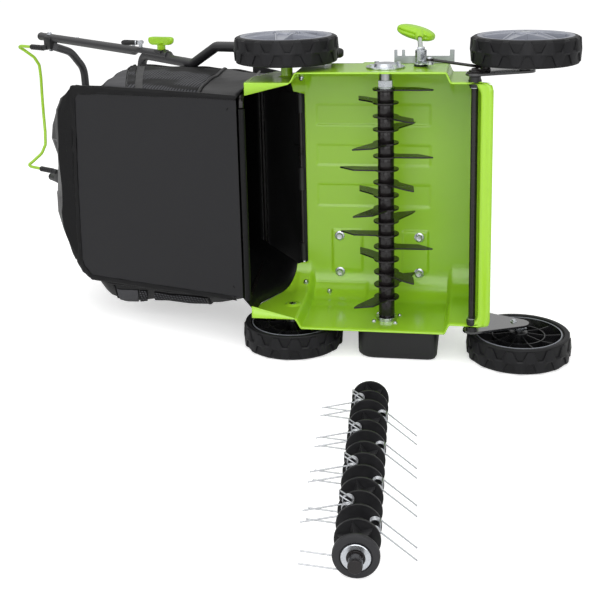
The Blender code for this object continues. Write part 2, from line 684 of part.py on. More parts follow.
def make_lower_handle():
    for name, side in (("right", 1), ("left", -1)):
        bm = bmesh.new()
        z0, z1 = sorted((side * (DECK_HALF + GAP), side * (DECK_HALF + GAP + 0.003)))
        plate(bm, [(-0.090, 0.078), (-0.135, 0.078), (-0.182, 0.108), (-0.236, 0.146),
                   (-0.238, 0.168), (-0.205, 0.172), (-0.135, 0.126), (-0.090, 0.104)], z0, z1)
        solid("handle_bracket_" + name, bm, BLACK_STEEL)
    corner = (*CLAMP_PIVOT, HANDLE_BEND[2])
    right = rounded([HANDLE_FOOT, HANDLE_HEEL, HANDLE_ELBOW, HANDLE_BEND, corner,
                     (*CLAMP_PIVOT, 0)], 0.035)[:-1]
    handle = meshed(wire("lower_handle", [mirrored(right)], TUBE, DARK_TUBE))
    flats = bmesh.new()
    for side in (-1, 1):
        flat_at_joint(flats, -0.045, 0.110, side * (HANDLE_JOINT_Z - GAP), side * 0.25)
    boolean(handle, cutter("lower_flats", flats))


def flat_at_joint(bm, start, end, z0, z1):
    """A block along the handle line, from and to distances past the fold pivot."""
    lean = math.atan2(HANDLE_LINE.y, HANDLE_LINE.x)
    low, high = sorted((z0, z1))
    box(bm, (start, -0.020, low), (end, 0.020, high),
        Matrix.Translation((*FOLD_PIVOT, 0)) @ Matrix.Rotation(lean, 4, "Z"))


def make_upper_handle():
    pivot = (*FOLD_PIVOT, 0)
    foot = along_handle(FOLD_PIVOT, -0.030, 0.1830)
    for name, side in (("right", 1), ("left", -1)):
        start, end = (Vector((p[0], p[1], side * p[2])) for p in (foot, UPPER_END))
        bm = bmesh.new()
        cylinder(bm, TUBE, start, end, 12)
        tube = solid("upper_tube_" + name, bm, DARK_TUBE, pivot)
        flats = bmesh.new()
        flat_at_joint(flats, -0.050, 0.115, 0, side * HANDLE_JOINT_Z)
        boolean(tube, cutter("upper_flat_" + name, flats))
    right = rounded([BOW_JOINT, *BOW_BENDS, (*BOW_BAR, 0)], 0.090, 5)[:-1]
    wire("grip_bow", [mirrored(right)], TUBE, DARK_TUBE, pivot)

    x, y = BOW_BAR
    bm, rest = bmesh.new(), bmesh.new()
    verts = box(bm, (x - 0.011, y - 0.048, -0.036), (x + 0.046, y + 0.018, 0.036))
    edges = list({e for v in verts for e in v.link_edges})
    bmesh.ops.bevel(bm, geom=edges, offset=0.008, segments=2, profile=0.5, affect="EDGES")
    housing = solid("switch_housing", bm, BLACK_PLASTIC, pivot)
    cylinder(rest, TUBE + GAP, (x, y, -0.05), (x, y, 0.05), 12)
    cylinder(rest, 0.0083, (x + 0.027, y + 0.004, 0), (x + 0.027, y + 0.03, 0), 12)
    boolean(housing, cutter("housing_bores", rest))
    bm = bmesh.new()
    cylinder(bm, 0.0080, (x + 0.027, y + 0.009, 0), (x + 0.027, y + 0.0230, 0), 12)
    solid("start_button", bm, GREEN_PLASTIC, (x + 0.027, y + 0.009, 0))


def make_bail():
    """The green wire bail: hairpin ears at its pivots and a bar across behind the grip."""
    right = [(-0.930, 0.7970, 0.1535), (-0.976, 0.8230, 0.1535), (-0.984, 0.8285, 0.1500),
             (-0.974, 0.8340, 0.1420), (-0.953, 0.8430, 0.1230), (-0.9455, 0.8530, 0.1020),
             (-0.9475, 0.8620, 0.0700), (-0.9525, 0.8720, 0.0250)]
    path = [Vector(p) for p in right]
    smooth = rounded(path, 0.02, 2)
    wire("bail_bar", [mirrored(smooth)], 0.0038, GREEN_PLASTIC, (*BAIL_PIVOT[:2], 0),
         resolution=1)


def make_handle_fasteners():
    for name, side in (("right", 1), ("left", -1)):
        bm, rest = bmesh.new(), bmesh.new()
        cylinder(bm, 0.0090, (*FOLD_PIVOT, side * 0.1930), (*FOLD_PIVOT, side * 0.2045), 12)
        low, high = sorted((side * 0.2030, side * 0.2185))
        wing = Matrix.Translation((*FOLD_PIVOT, 0)) @ Matrix.Rotation(math.radians(-12), 4, "Z")
        box(rest, (-0.026, -0.008, low), (0.026, 0.008, high), wing)
        fused("wing_knob_" + name, bm, rest, GREEN_PLASTIC, (*FOLD_PIVOT, 0))

        x, y = CLAMP_PIVOT
        bm, rest = bmesh.new(), bmesh.new()
        at = Vector((x, y, side * 0.2005))
        across, lever = Vector((0, 0.0065, 0)), Vector((-0.042, 0.002, 0))
        cylinder(bm, 0.0072, at - across, at + across, 12)
        cylinder(rest, 0.0042, at, at + lever, 8, 0.0058)
        fused("cam_lever_" + name, bm, rest, BLACK_PLASTIC, at)


def make_cables():
    """The switch's cable, tied along the left tubes and open where the handle folds."""
    side = Vector((0.700, 0.714, 0)) * (TUBE + 0.0042)
    x, y = BOW_BAR
    upper = [(x + 0.020, y - 0.030, -0.0365), (x + 0.018, y - 0.033, -0.060),
             (x + 0.012, y - 0.045, -0.105), (x + 0.010, y - 0.085, -0.150),
             along_handle(FOLD_PIVOT, 0.52, -0.1780) + side,
             along_handle(FOLD_PIVOT, 0.044, -0.1820) + side]
    wire("cable_upper", [rounded(upper, 0.03, 3)], 0.0035, RUBBER, (*FOLD_PIVOT, 0), resolution=1)
    elbow = Vector((HANDLE_ELBOW[0], HANDLE_ELBOW[1], -HANDLE_ELBOW[2]))
    bend = Vector((HANDLE_BEND[0], HANDLE_BEND[1], -HANDLE_BEND[2]))
    lower = [along_handle(FOLD_PIVOT, -0.044, -0.1760) + side, bend + side, elbow + side,
             (-0.215, 0.162, -0.2251), (-0.185, 0.182, -0.2150), (-0.150, 0.192, -0.1900),
             (-0.1125, 0.192, -0.1850), (-0.1084, 0.192, -0.1850)]
    wire("cable_lower", [rounded(lower, 0.02, 3)], 0.0035, RUBBER, resolution=1)


# Spare tine reel, drawn along its own Z axis from its near end, with -Y upwards

def make_reel():
    length = (Vector(REEL_FAR) - Vector(REEL_NEAR)).length
    step = (length - 0.003) / REEL_GAPS
    bore, core, disc = 0.0088, 0.0105, REEL_DISC
    profile = [(bore, 0), (disc, 0), (disc, 0.003)]
    for k in range(1, REEL_GAPS + 1):
        z = k * step
        profile += [(core, z - step + 0.003), (core, z), (disc, z), (disc, z + 0.003)]
    profile.append((bore, length))
    bm = bmesh.new()
    turned(bm, profile, steps=16)
    solid("reel_roller", bm, BLACK_PLASTIC, parent=REEL)

    bm, rest = bmesh.new(), bmesh.new()
    cylinder(bm, 0.0085, (0, 0, -0.022), (0, 0, length + 0.006), 12)
    ring(rest, 0.0155, 0.0080, -0.0045, -GAP, steps=20)
    shaft = solid("reel_shaft", bm, BARE_STEEL, parent=REEL)
    ring_cutter = cutter("reel_shaft_rest", rest)
    ring_cutter.parent = REEL
    boolean(shaft, ring_cutter, "UNION")

    for k in range(4):
        for name, coil, tip, gap in (("left", COIL_LEFT, TINE_TIP_LEFT, 3 * k + 1),
                                     ("right", COIL_RIGHT, TINE_TIP_RIGHT, 3 * k + 2)):
            start = length - step * (gap + 1)
            make_spring("reel_spring_%s_%d" % (name, k + 1), coil, tip, start, step - 0.003)


def make_spring(name, centre, tip, start, width):
    """A double tine: a coil between two tines, from one round wire across a gap."""
    centre = Vector(centre)
    reach = Vector(tip) - centre
    lean = math.atan2(reach.y, reach.x)
    spread = math.acos(COIL_RADIUS / reach.length)
    turned_by = 3 * math.tau - 2 * spread
    steps = 20
    clear = GAP + SPRING_WIRE
    coil = []
    for k in range(steps + 1):
        a = lean + spread + turned_by * k / steps
        coil.append(Vector((centre.x + COIL_RADIUS * math.cos(a), centre.y + COIL_RADIUS * math.sin(a),
                            start + clear + (width - 2 * clear) * k / steps)))
    path = [Vector((*tip, coil[0].z))] + coil + [Vector((*tip, coil[-1].z))]
    wire(name, [path], SPRING_WIRE, ZINC, parent=REEL, resolution=1)
    near = min((a - b).length for i, a in enumerate(coil) for b in coil[i + 4:])
    print("%s: least gap between its turns %.4f m" % (name, near - 2 * SPRING_WIRE))


clear_scene()
PARTS = collection("lawn_scarifier")
CUTTERS = collection("cutters")
MACHINE = empty("machine", (0, 0, MIDDLE_Z))
REEL = empty("spare_reel", (*REEL_NEAR, REEL_DISC))
REEL.rotation_euler = (-math.pi / 2, 0, math.atan2(REEL_NEAR[0] - REEL_FAR[0],
                                                   REEL_FAR[1] - REEL_NEAR[1]))

GREEN = material("green enamel", (0.33, 0.60, 0.03), 0.30)
GREEN_PLASTIC = material("green plastic", (0.35, 0.62, 0.04), 0.40)
BLACK_PLASTIC = material("black plastic", (0.02, 0.02, 0.022), 0.45)
BLACK_STEEL = material("black steel", (0.02, 0.02, 0.02), 0.35, 0.3)
BARE_STEEL = material("bare steel", (0.55, 0.55, 0.55), 0.30, 1.0)
ZINC = material("zinc plate", (0.60, 0.60, 0.60), 0.30, 1.0)
RUBBER = material("rubber", (0.02, 0.02, 0.02), 0.75)
RIM_GREY = material("grey rim plastic", (0.35, 0.38, 0.43), 0.40)
FABRIC = material("black bag fabric", (0.02, 0.02, 0.02), 0.85)
PANEL = material("dark grey panel", (0.05, 0.05, 0.05), 0.55)
DARK_TUBE = material("dark grey tube", (0.06, 0.06, 0.065), 0.40)

make_deck()
make_motor()
make_hood()
make_drive_cover()
make_rotor()
make_bearings()
for wheel_name, wheel_at, wheel_side in (
        ("rear_right", REAR_WHEEL, 1), ("rear_left", REAR_WHEEL, -1),
        ("front_right", FRONT_WHEEL, 1), ("front_left", FRONT_WHEEL, -1)):
    make_wheel(wheel_name, wheel_at, wheel_side)
make_rear_axle()
make_front_axle()
make_depth_lever()
make_flap()
make_bag()
make_lower_handle()
make_upper_handle()
make_bail()
make_handle_fasteners()
make_cables()
make_reel()
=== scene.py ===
import math

import bmesh
import bpy
from mathutils import Matrix, Vector, noise


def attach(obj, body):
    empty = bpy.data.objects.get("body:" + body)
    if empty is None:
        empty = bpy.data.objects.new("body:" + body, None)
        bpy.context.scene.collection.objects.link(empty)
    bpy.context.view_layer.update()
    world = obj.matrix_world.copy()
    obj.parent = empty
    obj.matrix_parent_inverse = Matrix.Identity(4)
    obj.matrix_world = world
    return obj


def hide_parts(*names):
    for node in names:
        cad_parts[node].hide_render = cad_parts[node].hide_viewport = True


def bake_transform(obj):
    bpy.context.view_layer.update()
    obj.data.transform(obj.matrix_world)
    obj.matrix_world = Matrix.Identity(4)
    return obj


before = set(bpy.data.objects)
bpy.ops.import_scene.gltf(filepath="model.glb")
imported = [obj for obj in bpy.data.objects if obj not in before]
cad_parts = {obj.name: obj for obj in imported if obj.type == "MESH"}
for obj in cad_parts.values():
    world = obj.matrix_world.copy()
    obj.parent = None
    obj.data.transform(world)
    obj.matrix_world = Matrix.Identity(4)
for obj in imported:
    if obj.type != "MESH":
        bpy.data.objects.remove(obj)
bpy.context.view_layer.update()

MIDDLE = 263.9


# Studio
# White paper on the floor, a room with a white ceiling and greyer walls, and four soft boxes. The
# camera stands in front of the machine's open underside and looks a little down on it.

def srgb(code):
    """A hex colour as the linear values that Blender's sockets hold."""
    shares = [int(code[k:k + 2], 16) / 255 for k in (1, 3, 5)]
    return [s / 12.92 if s <= 0.04045 else ((s + 0.055) / 1.055) ** 2.4 for s in shares] + [1]


def add(tree, kind, inputs=None, **settings):
    """Add a node with its settings. An input takes a value, or the output it is linked to."""
    made = tree.nodes.new("ShaderNode" + kind)
    for key, value in settings.items():
        setattr(made, key, value)
    for key, value in (inputs or {}).items():
        if isinstance(value, bpy.types.NodeSocket):
            tree.links.new(value, made.inputs[key])
        else:
            made.inputs[key].default_value = value
    return made


def put(name, data):
    obj = bpy.data.objects.new(name, data)
    bpy.context.scene.collection.objects.link(obj)
    return obj


def turn_by(degrees, axis="Z"):
    return Matrix.Rotation(math.radians(degrees), 4, axis)


bpy.context.scene.view_settings.view_transform = "Standard"

camera = put("camera", bpy.data.cameras.new("camera"))
camera.data.sensor_width = 36
camera.data.lens = 64.68
camera.data.shift_y = -0.217
camera.matrix_world = (Matrix.Translation((0.150, -1.699, 0.710)) @ turn_by(9.73)
                       @ turn_by(90 - 13.14, "X") @ turn_by(-1.37))
bpy.context.scene.camera = camera

for lamp_name, lamp_at, lamp_size, watts in (
        ("box_above", (-0.3, -0.6, 2.6), 2.2, 20), ("box_left", (-2.3, -1.6, 1.2), 1.6, 12),
        ("box_right", (2.2, -1.9, 1.3), 1.6, 13), ("box_front", (0.1, -2.9, 1.5), 2.6, 46)):
    lamp = put(lamp_name, bpy.data.lights.new(lamp_name, "AREA"))
    lamp.data.shape = "SQUARE"
    lamp.data.size = lamp_size
    lamp.data.energy = watts
    lamp.location = lamp_at
    aim = Vector((-0.15, 0.0, 0.2)) - lamp.location
    lamp.rotation_euler = aim.to_track_quat("-Z", "Y").to_euler()

room = bpy.data.worlds.new("pale_room")
bpy.context.scene.world = room
room.use_nodes = True
rays = add(room.node_tree, "LightPath")
height = add(room.node_tree, "SeparateXYZ",
             {0: add(room.node_tree, "TexCoord").outputs["Generated"]}).outputs["Z"]
walls = add(room.node_tree, "MapRange", {"Value": height, "From Min": 0.05, "From Max": 0.45,
                                         "To Min": 0.30, "To Max": 1.0})
level = add(room.node_tree, "Mix", {"Factor": rays.outputs["Is Glossy Ray"], 2: 0.66,
                                    3: walls.outputs["Result"]})
level = add(room.node_tree, "Mix", {"Factor": rays.outputs["Is Camera Ray"], 2: level.outputs[0],
                                    3: 1.0})
background = room.node_tree.nodes["Background"]
background.inputs["Color"].default_value = srgb("#FFFFFF")
room.node_tree.links.new(level.outputs[0], background.inputs["Strength"])

paper = bpy.data.materials.new("white_paper")
paper.use_nodes = True
sheet_shader = paper.node_tree.nodes["Principled BSDF"]
sheet_shader.inputs["Base Color"].default_value = srgb("#F4F4F4")
sheet_shader.inputs["Roughness"].default_value = 0.9
sheet_shader.inputs["Emission Color"].default_value = srgb("#FFFFFF")
rays = add(paper.node_tree, "LightPath")
glow = add(paper.node_tree, "MapRange", {"Value": rays.outputs["Is Camera Ray"], "To Max": 0.46})
paper.node_tree.links.new(glow.outputs["Result"], sheet_shader.inputs["Emission Strength"])
floor = put("paper_floor", bpy.data.meshes.new("paper_floor"))
floor.data.from_pydata([(-9, -9, 0), (9, -9, 0), (9, 9, 0), (-9, 9, 0)], [], [(0, 1, 2, 3)])
floor.data.materials.append(paper)


# Deck
# One deep-drawn shell of 2 mm steel, stepped in at its wheels, with pressed stiffening ribs, two
# sunk pads for the motor's bolts and a turned-out front lip. It is powder coated in lime green:
# a hard glossy film that lies smooth, with a faint orange peel.


def finish(name, base, drift, roughness, metallic=0.0, cloud=80, grain=1.2, relief=0.02,
           spread=0.05, edge_highlight=None, slot=None, **sockets):
    """A surface that drifts between two colours over cloud mm, with a grain and relief in mm."""
    mat = bpy.data.materials.new(name)
    mat.use_nodes = True
    tree = mat.node_tree
    shader = tree.nodes["Principled BSDF"]
    where = add(tree, "TexCoord").outputs["Object"]
    patches = add(tree, "TexNoise", {"Vector": where, "Scale": 1000 / cloud, "Detail": 5.0,
                                     "Roughness": 0.6})
    fine = add(tree, "TexNoise", {"Vector": where, "Scale": 1000 / grain, "Detail": 3.0})
    colour = add(tree, "Mix", {"Factor": patches.outputs["Fac"], 6: srgb(base), 7: srgb(drift)},
                 data_type="RGBA").outputs[2]
    # Where given, convex edges found by Pointiness are mixed in patches towards a lighter colour: a
    # painted highlight along the edges.
    if edge_highlight:
        highlight_mask = add(tree, "MapRange", {"Value": add(tree, "NewGeometry").outputs["Pointiness"],
                                     "From Min": 0.53, "From Max": 0.62})
        highlight_mask = add(tree, "Math", {0: highlight_mask.outputs["Result"], 1: patches.outputs["Fac"]},
                  operation="MULTIPLY")
        colour = add(tree, "Mix", {"Factor": highlight_mask.outputs[0], 6: colour, 7: srgb(edge_highlight)},
                     data_type="RGBA").outputs[2]
    tree.links.new(colour, shader.inputs["Base Color"])
    gloss = add(tree, "Mix", {"Factor": fine.outputs["Fac"], 2: patches.outputs["Fac"],
                              3: fine.outputs["Fac"]})
    gloss = add(tree, "MapRange", {"Value": gloss.outputs[0], "From Min": 0.3, "From Max": 0.7,
                                   "To Min": roughness - spread, "To Max": roughness + spread})
    tree.links.new(gloss.outputs["Result"], shader.inputs["Roughness"])
    bump = add(tree, "Bump", {"Height": fine.outputs["Fac"], "Distance": relief / 1000})
    tree.links.new(bump.outputs["Normal"], shader.inputs["Normal"])
    shader.inputs["Metallic"].default_value = metallic
    for socket, value in sockets.items():
        shader.inputs[socket.replace("_", " ")].default_value = value
    return mat


def skin(bm, rows, loop=False, caps=True, turn=None, ring=True):
    """Faces between rows of points: loop joins the last row to the first, caps fill the ends."""
    turn = turn or Matrix()
    made = [[bm.verts.new(turn @ Vector(p)) for p in row] for row in rows]
    pairs = list(zip(made, made[1:])) + ([(made[-1], made[0])] if loop else [])
    for near, far in pairs:
        for k in range(0 if ring else 1, len(near)):
            bm.faces.new((near[k - 1], near[k], far[k], far[k - 1]))
    if caps and ring and not loop:
        bm.faces.new(made[0][::-1])
        bm.faces.new(made[-1])
    return made


def piece(name, bm, mat, body, angle=38, at=Matrix.Translation((0, 0, MIDDLE)), out=None,
          instead=None):
    """An object of bm that rides on a body instead of a CAD node. An open sheet faces out."""
    bmesh.ops.recalc_face_normals(bm, faces=bm.faces)
    if out:
        out = Vector(out)
        if max(bm.faces, key=lambda f: f.calc_center_median().dot(out)).normal.dot(out) < 0:
            bmesh.ops.reverse_faces(bm, faces=bm.faces)
    mesh = bpy.data.meshes.new(name)
    bm.to_mesh(mesh)
    bm.free()
    mesh.transform(Matrix.Scale(0.001, 4) @ at)
    mesh.shade_smooth()
    mesh.set_sharp_from_angle(angle=math.radians(angle))
    mesh.materials.append(mat)
    obj = put(name, mesh)
    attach(obj, body) if body else obj
    if instead:
        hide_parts(instead)
    return obj


def thicken(sheet, depth):
    """Give an open sheet its thickness, inwards from where it is drawn."""
    solid = sheet.modifiers.new("sheet thickness", "SOLIDIFY")
    solid.thickness = depth / 1000
    solid.offset = -1


def rounded_edges(obj, width, segments=2, angle=35):
    bevel = obj.modifiers.new("rounded edges", "BEVEL")
    bevel.width = width / 1000
    bevel.segments = segments
    bevel.limit_method = "ANGLE"
    bevel.angle_limit = math.radians(angle)
    bevel.harden_normals = True
    return bevel


def dress(mat, *nodes, edge=0.5):
    """Give CAD nodes their finish, join their faces and round their edges a little."""
    for name in nodes:
        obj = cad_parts[name]
        obj.data.materials.clear()
        obj.data.materials.append(mat)
        obj.data.attributes.remove(obj.data.attributes["custom_normal"])
        obj.data.shade_smooth()
        weld = obj.modifiers.new("joined faces", "WELD")
        weld.merge_threshold = 2e-6
        rounded_edges(obj, edge)


def smooth(t):
    t = min(max(t, 0.0), 1.0)
    return t * t * (3 - 2 * t)


def band(value, low, high, edge):
    """1 between low and high, with soft edges that wide."""
    return smooth((value - low) / edge + 0.5) * smooth((high - value) / edge + 0.5)


LIP_Y, TOP_Y, SHOULDER, STEEL = -57, 116.5, 50, 2
NOSE_X, TAIL_X, MERGE = 132, -218, 0.01
green_enamel = finish("lime_powder_coat", "#97C62A", "#91C027", 0.24, cloud=140, grain=2.4,
                      relief=0.003, spread=0.03, Coat_Weight=0.25, Coat_Roughness=0.10,
                      slot="green_enamel")


def deck_half(x):
    wide = smooth((x + 147) / 11.5) * smooth((106 - x) / 9.5)
    return 196.5 + 15.5 * wide


def deck_press(x, y, z, kind):
    """How far the sheet is pressed outwards, in millimetres."""
    if kind == "top":
        ribs = sum(band(z, low, high, 3.5)
                   for low, high in ((97, 132.5), (26, 62), (-47, -8.5)))
        pads = band(x, -105, -53, 3.5) + band(x, 18.5, 62.5, 3.5)
        return (1.9 * ribs * band(x, -130, 66, 3.5)
                - 2.8 * pads * band(z, -184, -91, 3.5))
    return -2.2 * band(x, -168, -43, 6) * (kind == "arc") * band(y, 50, 108.5, 5)


spots = [("wall", LIP_Y + (TOP_Y - SHOULDER - LIP_Y) * k / 12) for k in range(12)]
spots += [("arc", 90 * k / 16) for k in range(16)]
spots = ([(-1, *s) for s in spots] + [(1, "top", k / 84 - 1) for k in range(169)]
         + [(1, *s) for s in reversed(spots)])
stations = [(start + step * k, 0) for start, step, count in (
    (TAIL_X, 4, 17), (-150, 1.4, 12), (-132.5, 1.9, 120), (95.5, 1.4, 9), (112.5, 6.5, 3))
            for k in range(count)]
for k in range(8):
    t = math.radians(90 * k / 7)
    stations.append((NOSE_X + 20 * math.sin(t), 20 * (1 - math.cos(t))))

rows = []
for x, inset in stations:
    row = []
    for side, kind, value in spots:
        half = deck_half(x)
        if kind == "wall":
            y, z, out = value, side * (half - inset), Vector((0, 0, side))
        elif kind == "arc":
            a, reach = math.radians(value), SHOULDER - inset
            out = Vector((0, math.sin(a), side * math.cos(a)))
            y = TOP_Y - SHOULDER + reach * math.sin(a)
            z = side * (half - SHOULDER + reach * math.cos(a))
        else:
            y, z, out = TOP_Y - inset, value * (half - SHOULDER), Vector((0, 1, 0))
        tail = TAIL_X + max(y - 6, 0) * 48 / 110.5
        if abs(z) < 153 and y > 90:
            tail = -150
        at = max(x, tail)
        row.append(Vector((at, y, z)) + out * deck_press(at, y, z, kind))
    rows.append(row)
bm = bmesh.new()
made = skin(bm, rows, ring=False)
bm.faces.new(made[-1])
bmesh.ops.remove_doubles(bm, verts=bm.verts, dist=MERGE)
lip = [e for e in bm.edges if e.is_boundary and all(
    abs(v.co.y - LIP_Y) < MERGE and v.co.x > 131.5 for v in e.verts)]
for front, step in ((28, 0.0), (29.8, -1.3), (37, -1.3)):
    added = bmesh.ops.extrude_edge_only(bm, edges=lip)["geom"]
    lip = [e for e in added if isinstance(e, bmesh.types.BMEdge)]
    for vert in {v for e in lip for v in e.verts}:
        run, rise = vert.co.x - NOSE_X, max(abs(vert.co.z) - 176.5, 0)
        t = math.atan2(run, rise)
        reach = (abs(math.sin(t) / front) ** 6 + abs(math.cos(t) / 20) ** 6) ** (-1 / 6)
        vert.co.x = NOSE_X + reach * math.sin(t)
        vert.co.y = LIP_Y + step * smooth(run / 12)
        vert.co.z += math.copysign(reach * math.cos(t) - rise, vert.co.z)
wings = [e for e in bm.edges if e.is_boundary and all(
    abs(v.co.y - LIP_Y) < MERGE and v.co.x < -146.9 for v in e.verts)]
for vert in bmesh.ops.extrude_edge_only(bm, edges=wings)["geom"]:
    if isinstance(vert, bmesh.types.BMVert):
        share = (-147 - vert.co.x) / 71
        vert.co.z -= math.copysign(3 + 18 * share, vert.co.z)
bmesh.ops.remove_doubles(bm, verts=bm.verts, dist=MERGE)
deck = piece("deck_pressing", bm, green_enamel, "chassis", 60, out=(0, 1, 0), instead="deck_shell")
rounded_edges(deck, 2, 3, 55).use_clamp_overlap = False
thicken(deck, STEEL)


# Rear axle bosses
# Short green tubes welded into the rear wings, each with a pressed ring round it, that hold the
# rear wheels' stub axles. The stubs are zinc-plated pins with a riveted end cap.

def prism(bm, outline, levels, turn=None):
    """An (x, y) outline drawn out along Z from one level to the next."""
    skin(bm, [[(x, y, z) for x, y in outline] for z in levels], turn=turn)


def turned(bm, profile, steps=48, centre=(0, 0), turn=None, loop=True, side=1):
    """Spin a (radius, z) profile round a line along Z through the centre. Side -1 mirrors it."""
    skin(bm, [[(centre[0] + r * math.cos(math.tau * k / steps),
                centre[1] + r * math.sin(math.tau * k / steps), side * z) for k in range(steps)]
              for r, z in profile], loop=loop, turn=turn)


SIDES = (("right", 1), ("left", -1))
REAR_WHEEL, FRONT_WHEEL, TRACK = (-161, 11), (216.5, -5), 484.8
zinc = finish("bright_zinc_plate", "#C9CCD0", "#B4B8BE", 0.26, 1.0, cloud=6, grain=0.9,
              relief=0.01, spread=0.08, slot="zinc")
for name, side in SIDES:
    bm = bmesh.new()
    turned(bm, [(6.2, 192.5), (8.5, 192.5), (9.5, 193.5), (14, 194.2), (15, 194.8), (15, 196.6),
                (12, 197.2), (9.8, 199), (9.5, 201), (9.5, 212), (8.8, 212.7), (6.2, 212.7)],
           centre=REAR_WHEEL, side=side)
    piece("rear_boss_" + name, bm, green_enamel, "chassis")
    bm = bmesh.new()
    cap = 263.8 if side < 0 else 269.4
    turned(bm, [(4, 191.5), (6, 192.3), (6, cap - 3), (8, cap - 3), (8.4, cap - 2.4),
                (8.4, cap - 1.4), (6.6, cap - 0.2), (3, cap)],
           centre=REAR_WHEEL, loop=False, side=side)
    piece("rear_stub_" + name, bm, zinc, "chassis", instead="rear_axle_" + name)


# Screws and nuts on the deck
# Zinc-plated hexagon bolts with broad washers hold the motor, and domed nuts close the screws of
# the handle's brackets and of the bearings, so that nothing sharp stands inside the deck.

def polar(radius, degrees, centre=(0, 0)):
    """A point on a circle."""
    a = math.radians(degrees)
    return centre[0] + radius * math.cos(a), centre[1] + radius * math.sin(a)


def aimed(at, along):
    """Move a drawing to a place and point its Z along a direction."""
    return Matrix.Translation(at) @ Vector(along).to_track_quat("Z", "Y").to_matrix().to_4x4()


def bolt(bm, at, out, across=10, head=4.5, washer=0.0, dome=0.0):
    """A hexagon head on its washer, or a domed nut, standing out of a surface."""
    turn = aimed(at, out)
    if washer:
        turned(bm, [(2, -0.8), (washer, -0.8), (washer, 1), (washer - 0.6, 1.4), (2, 1.4)], 28,
               turn=turn)
    base = 1.2 if washer else -1
    flat = across / 2
    rings = [(base, 1.155, 1.0), (base + head * 0.72, 1.155, 1.0), (base + head * 0.86, 1.06, 1.0),
             (base + head, 0.90, 0.90)]
    for k in range(1, 5 if dome else 0):
        t = math.radians(90 * k / 5)
        rings.append((base + head + dome * math.sin(t), 0.82 * math.cos(t), 0.82 * math.cos(t)))
    rows = [[(*polar(flat * (corner if k % 2 else middle), 30 * k), z) for k in range(12)]
            for z, corner, middle in rings]
    if not dome:
        rows.append([(0.55 * x, 0.55 * y, z - 0.4) for x, y, z in rows[-1]])
    skin(bm, rows, turn=turn)


bm = bmesh.new()
for x, z in ((-92.1, -101), (-92.2, -167.5), (47.5, -101), (47.2, -166.2)):
    bolt(bm, (x, 112.2, z), (0, -1, 0), 10.8, 4.8, 8.6)
for side in (-1, 1):
    for x in (-151, -109.5):
        half = 196.5 if x < -147 else 212
        out = Vector((0, -0.593, -side * 0.805))
        at = Vector((x, TOP_Y - SHOULDER, side * (half - SHOULDER))) - out * 45.8
        bolt(bm, at, out, 9, 4, dome=4)
    for k in range(4):
        bolt(bm, (*polar(25.5, -52 + 90 * k), side * 209.8), (0, 0, -side), 6.2, 2.8, dome=2.2)
piece("deck_screws", bm, zinc, "chassis")


# Motor, belt drive and covers
# A cast and laminated motor drives the rotor by a ribbed belt. Its hood and the belt's deep cover
# are moulded in black polypropylene, which has a fine spark-eroded grain and a soft shine.

steel = finish("ground_steel", "#A9ABAD", "#8F9193", 0.30, 1.0, cloud=20, grain=0.8, relief=0.01)
# The lighter edge colour #303032 below is a painted highlight on the plastic's convex edges.
black_plastic = finish("black_polypropylene", "#0F0F10", "#151516", 0.42, cloud=60, grain=0.9,
                       relief=0.03, spread=0.06, edge_highlight="#303032", Specular_IOR_Level=0.35,
                       slot="black_plastic")
rubber = finish("black_rubber", "#151516", "#1B1B1D", 0.70, cloud=40, grain=0.8, relief=0.04,
                Specular_IOR_Level=0.3, slot="rubber")
dress(steel, "motor_body", "motor_shaft", "motor_pulley", "rotor_pulley")
dress(rubber, "drive_belt", edge=0.8)
dress(black_plastic, "motor_hood", edge=1.8)
dress(black_plastic, "drive_cover", edge=3.5)
bm = bmesh.new()
for x in (-96, 74):
    for z in (-186, 6):
        bolt(bm, (x, 117.5, z), (0, 1, 0), 7, 3.2)
piece("hood_screws", bm, zinc, "chassis")


# Knife rotor
# Seventeen stamped steel knives with a round collar each, threaded on a tube with spacers between
# them and clamped by one large nut. They are black from hardening and oiling, a thin brownish
# film that stays smooth and shines along the tube.

# The lighter edge colour #2E2A29 below is a painted highlight on convex edges.
black_steel = finish("blackened_steel", "#110F10", "#191516", 0.24, cloud=25, grain=1.1,
                     relief=0.006, spread=0.06, edge_highlight="#2E2A29", Specular_IOR_Level=0.35,
                     slot="black_steel")
KNIFE_ANGLES = (0, 137, -44, 62, -122, 0, 180, -44, 137, -122, 62, 180, 0, 137, -44, 62, -122)
KNIFE_TOP, KNIFE_PITCH, KNIFE_STEEL = 179.25, 21.8, 2.5
KNIFE = [polar(21, 40 + 10 * j) for j in range(29)]
KNIFE += [(30, -12.8), (60, -12.5), (74.8, -9.8), (76.5, -8.8), (74.5, -6.6), (52, 12.5),
          (30, 12.8)]
bm = bmesh.new()
for k, angle in enumerate(KNIFE_ANGLES):
    z = KNIFE_TOP - k * KNIFE_PITCH
    under = z - KNIFE_STEEL
    prism(bm, KNIFE, (under, z), turn_by(angle))
    low = z - KNIFE_PITCH if k < 16 else -204
    turned(bm, [(10.2, low + 0.2), (12.8, low + 0.2), (13.2, low + 0.8), (13.2, under - 0.8),
                (12.8, under - 0.2), (10.2, under - 0.2)], 40)
rounded_edges(piece("knives_and_spacers", bm, black_steel, "rotor", instead="knife_stack"),
              0.4, 2, 50)
dress(steel, "rotor_shaft")
dress(zinc, "rotor_nut", "bearing_left", "bearing_right", "bearing_flange", edge=0.4)
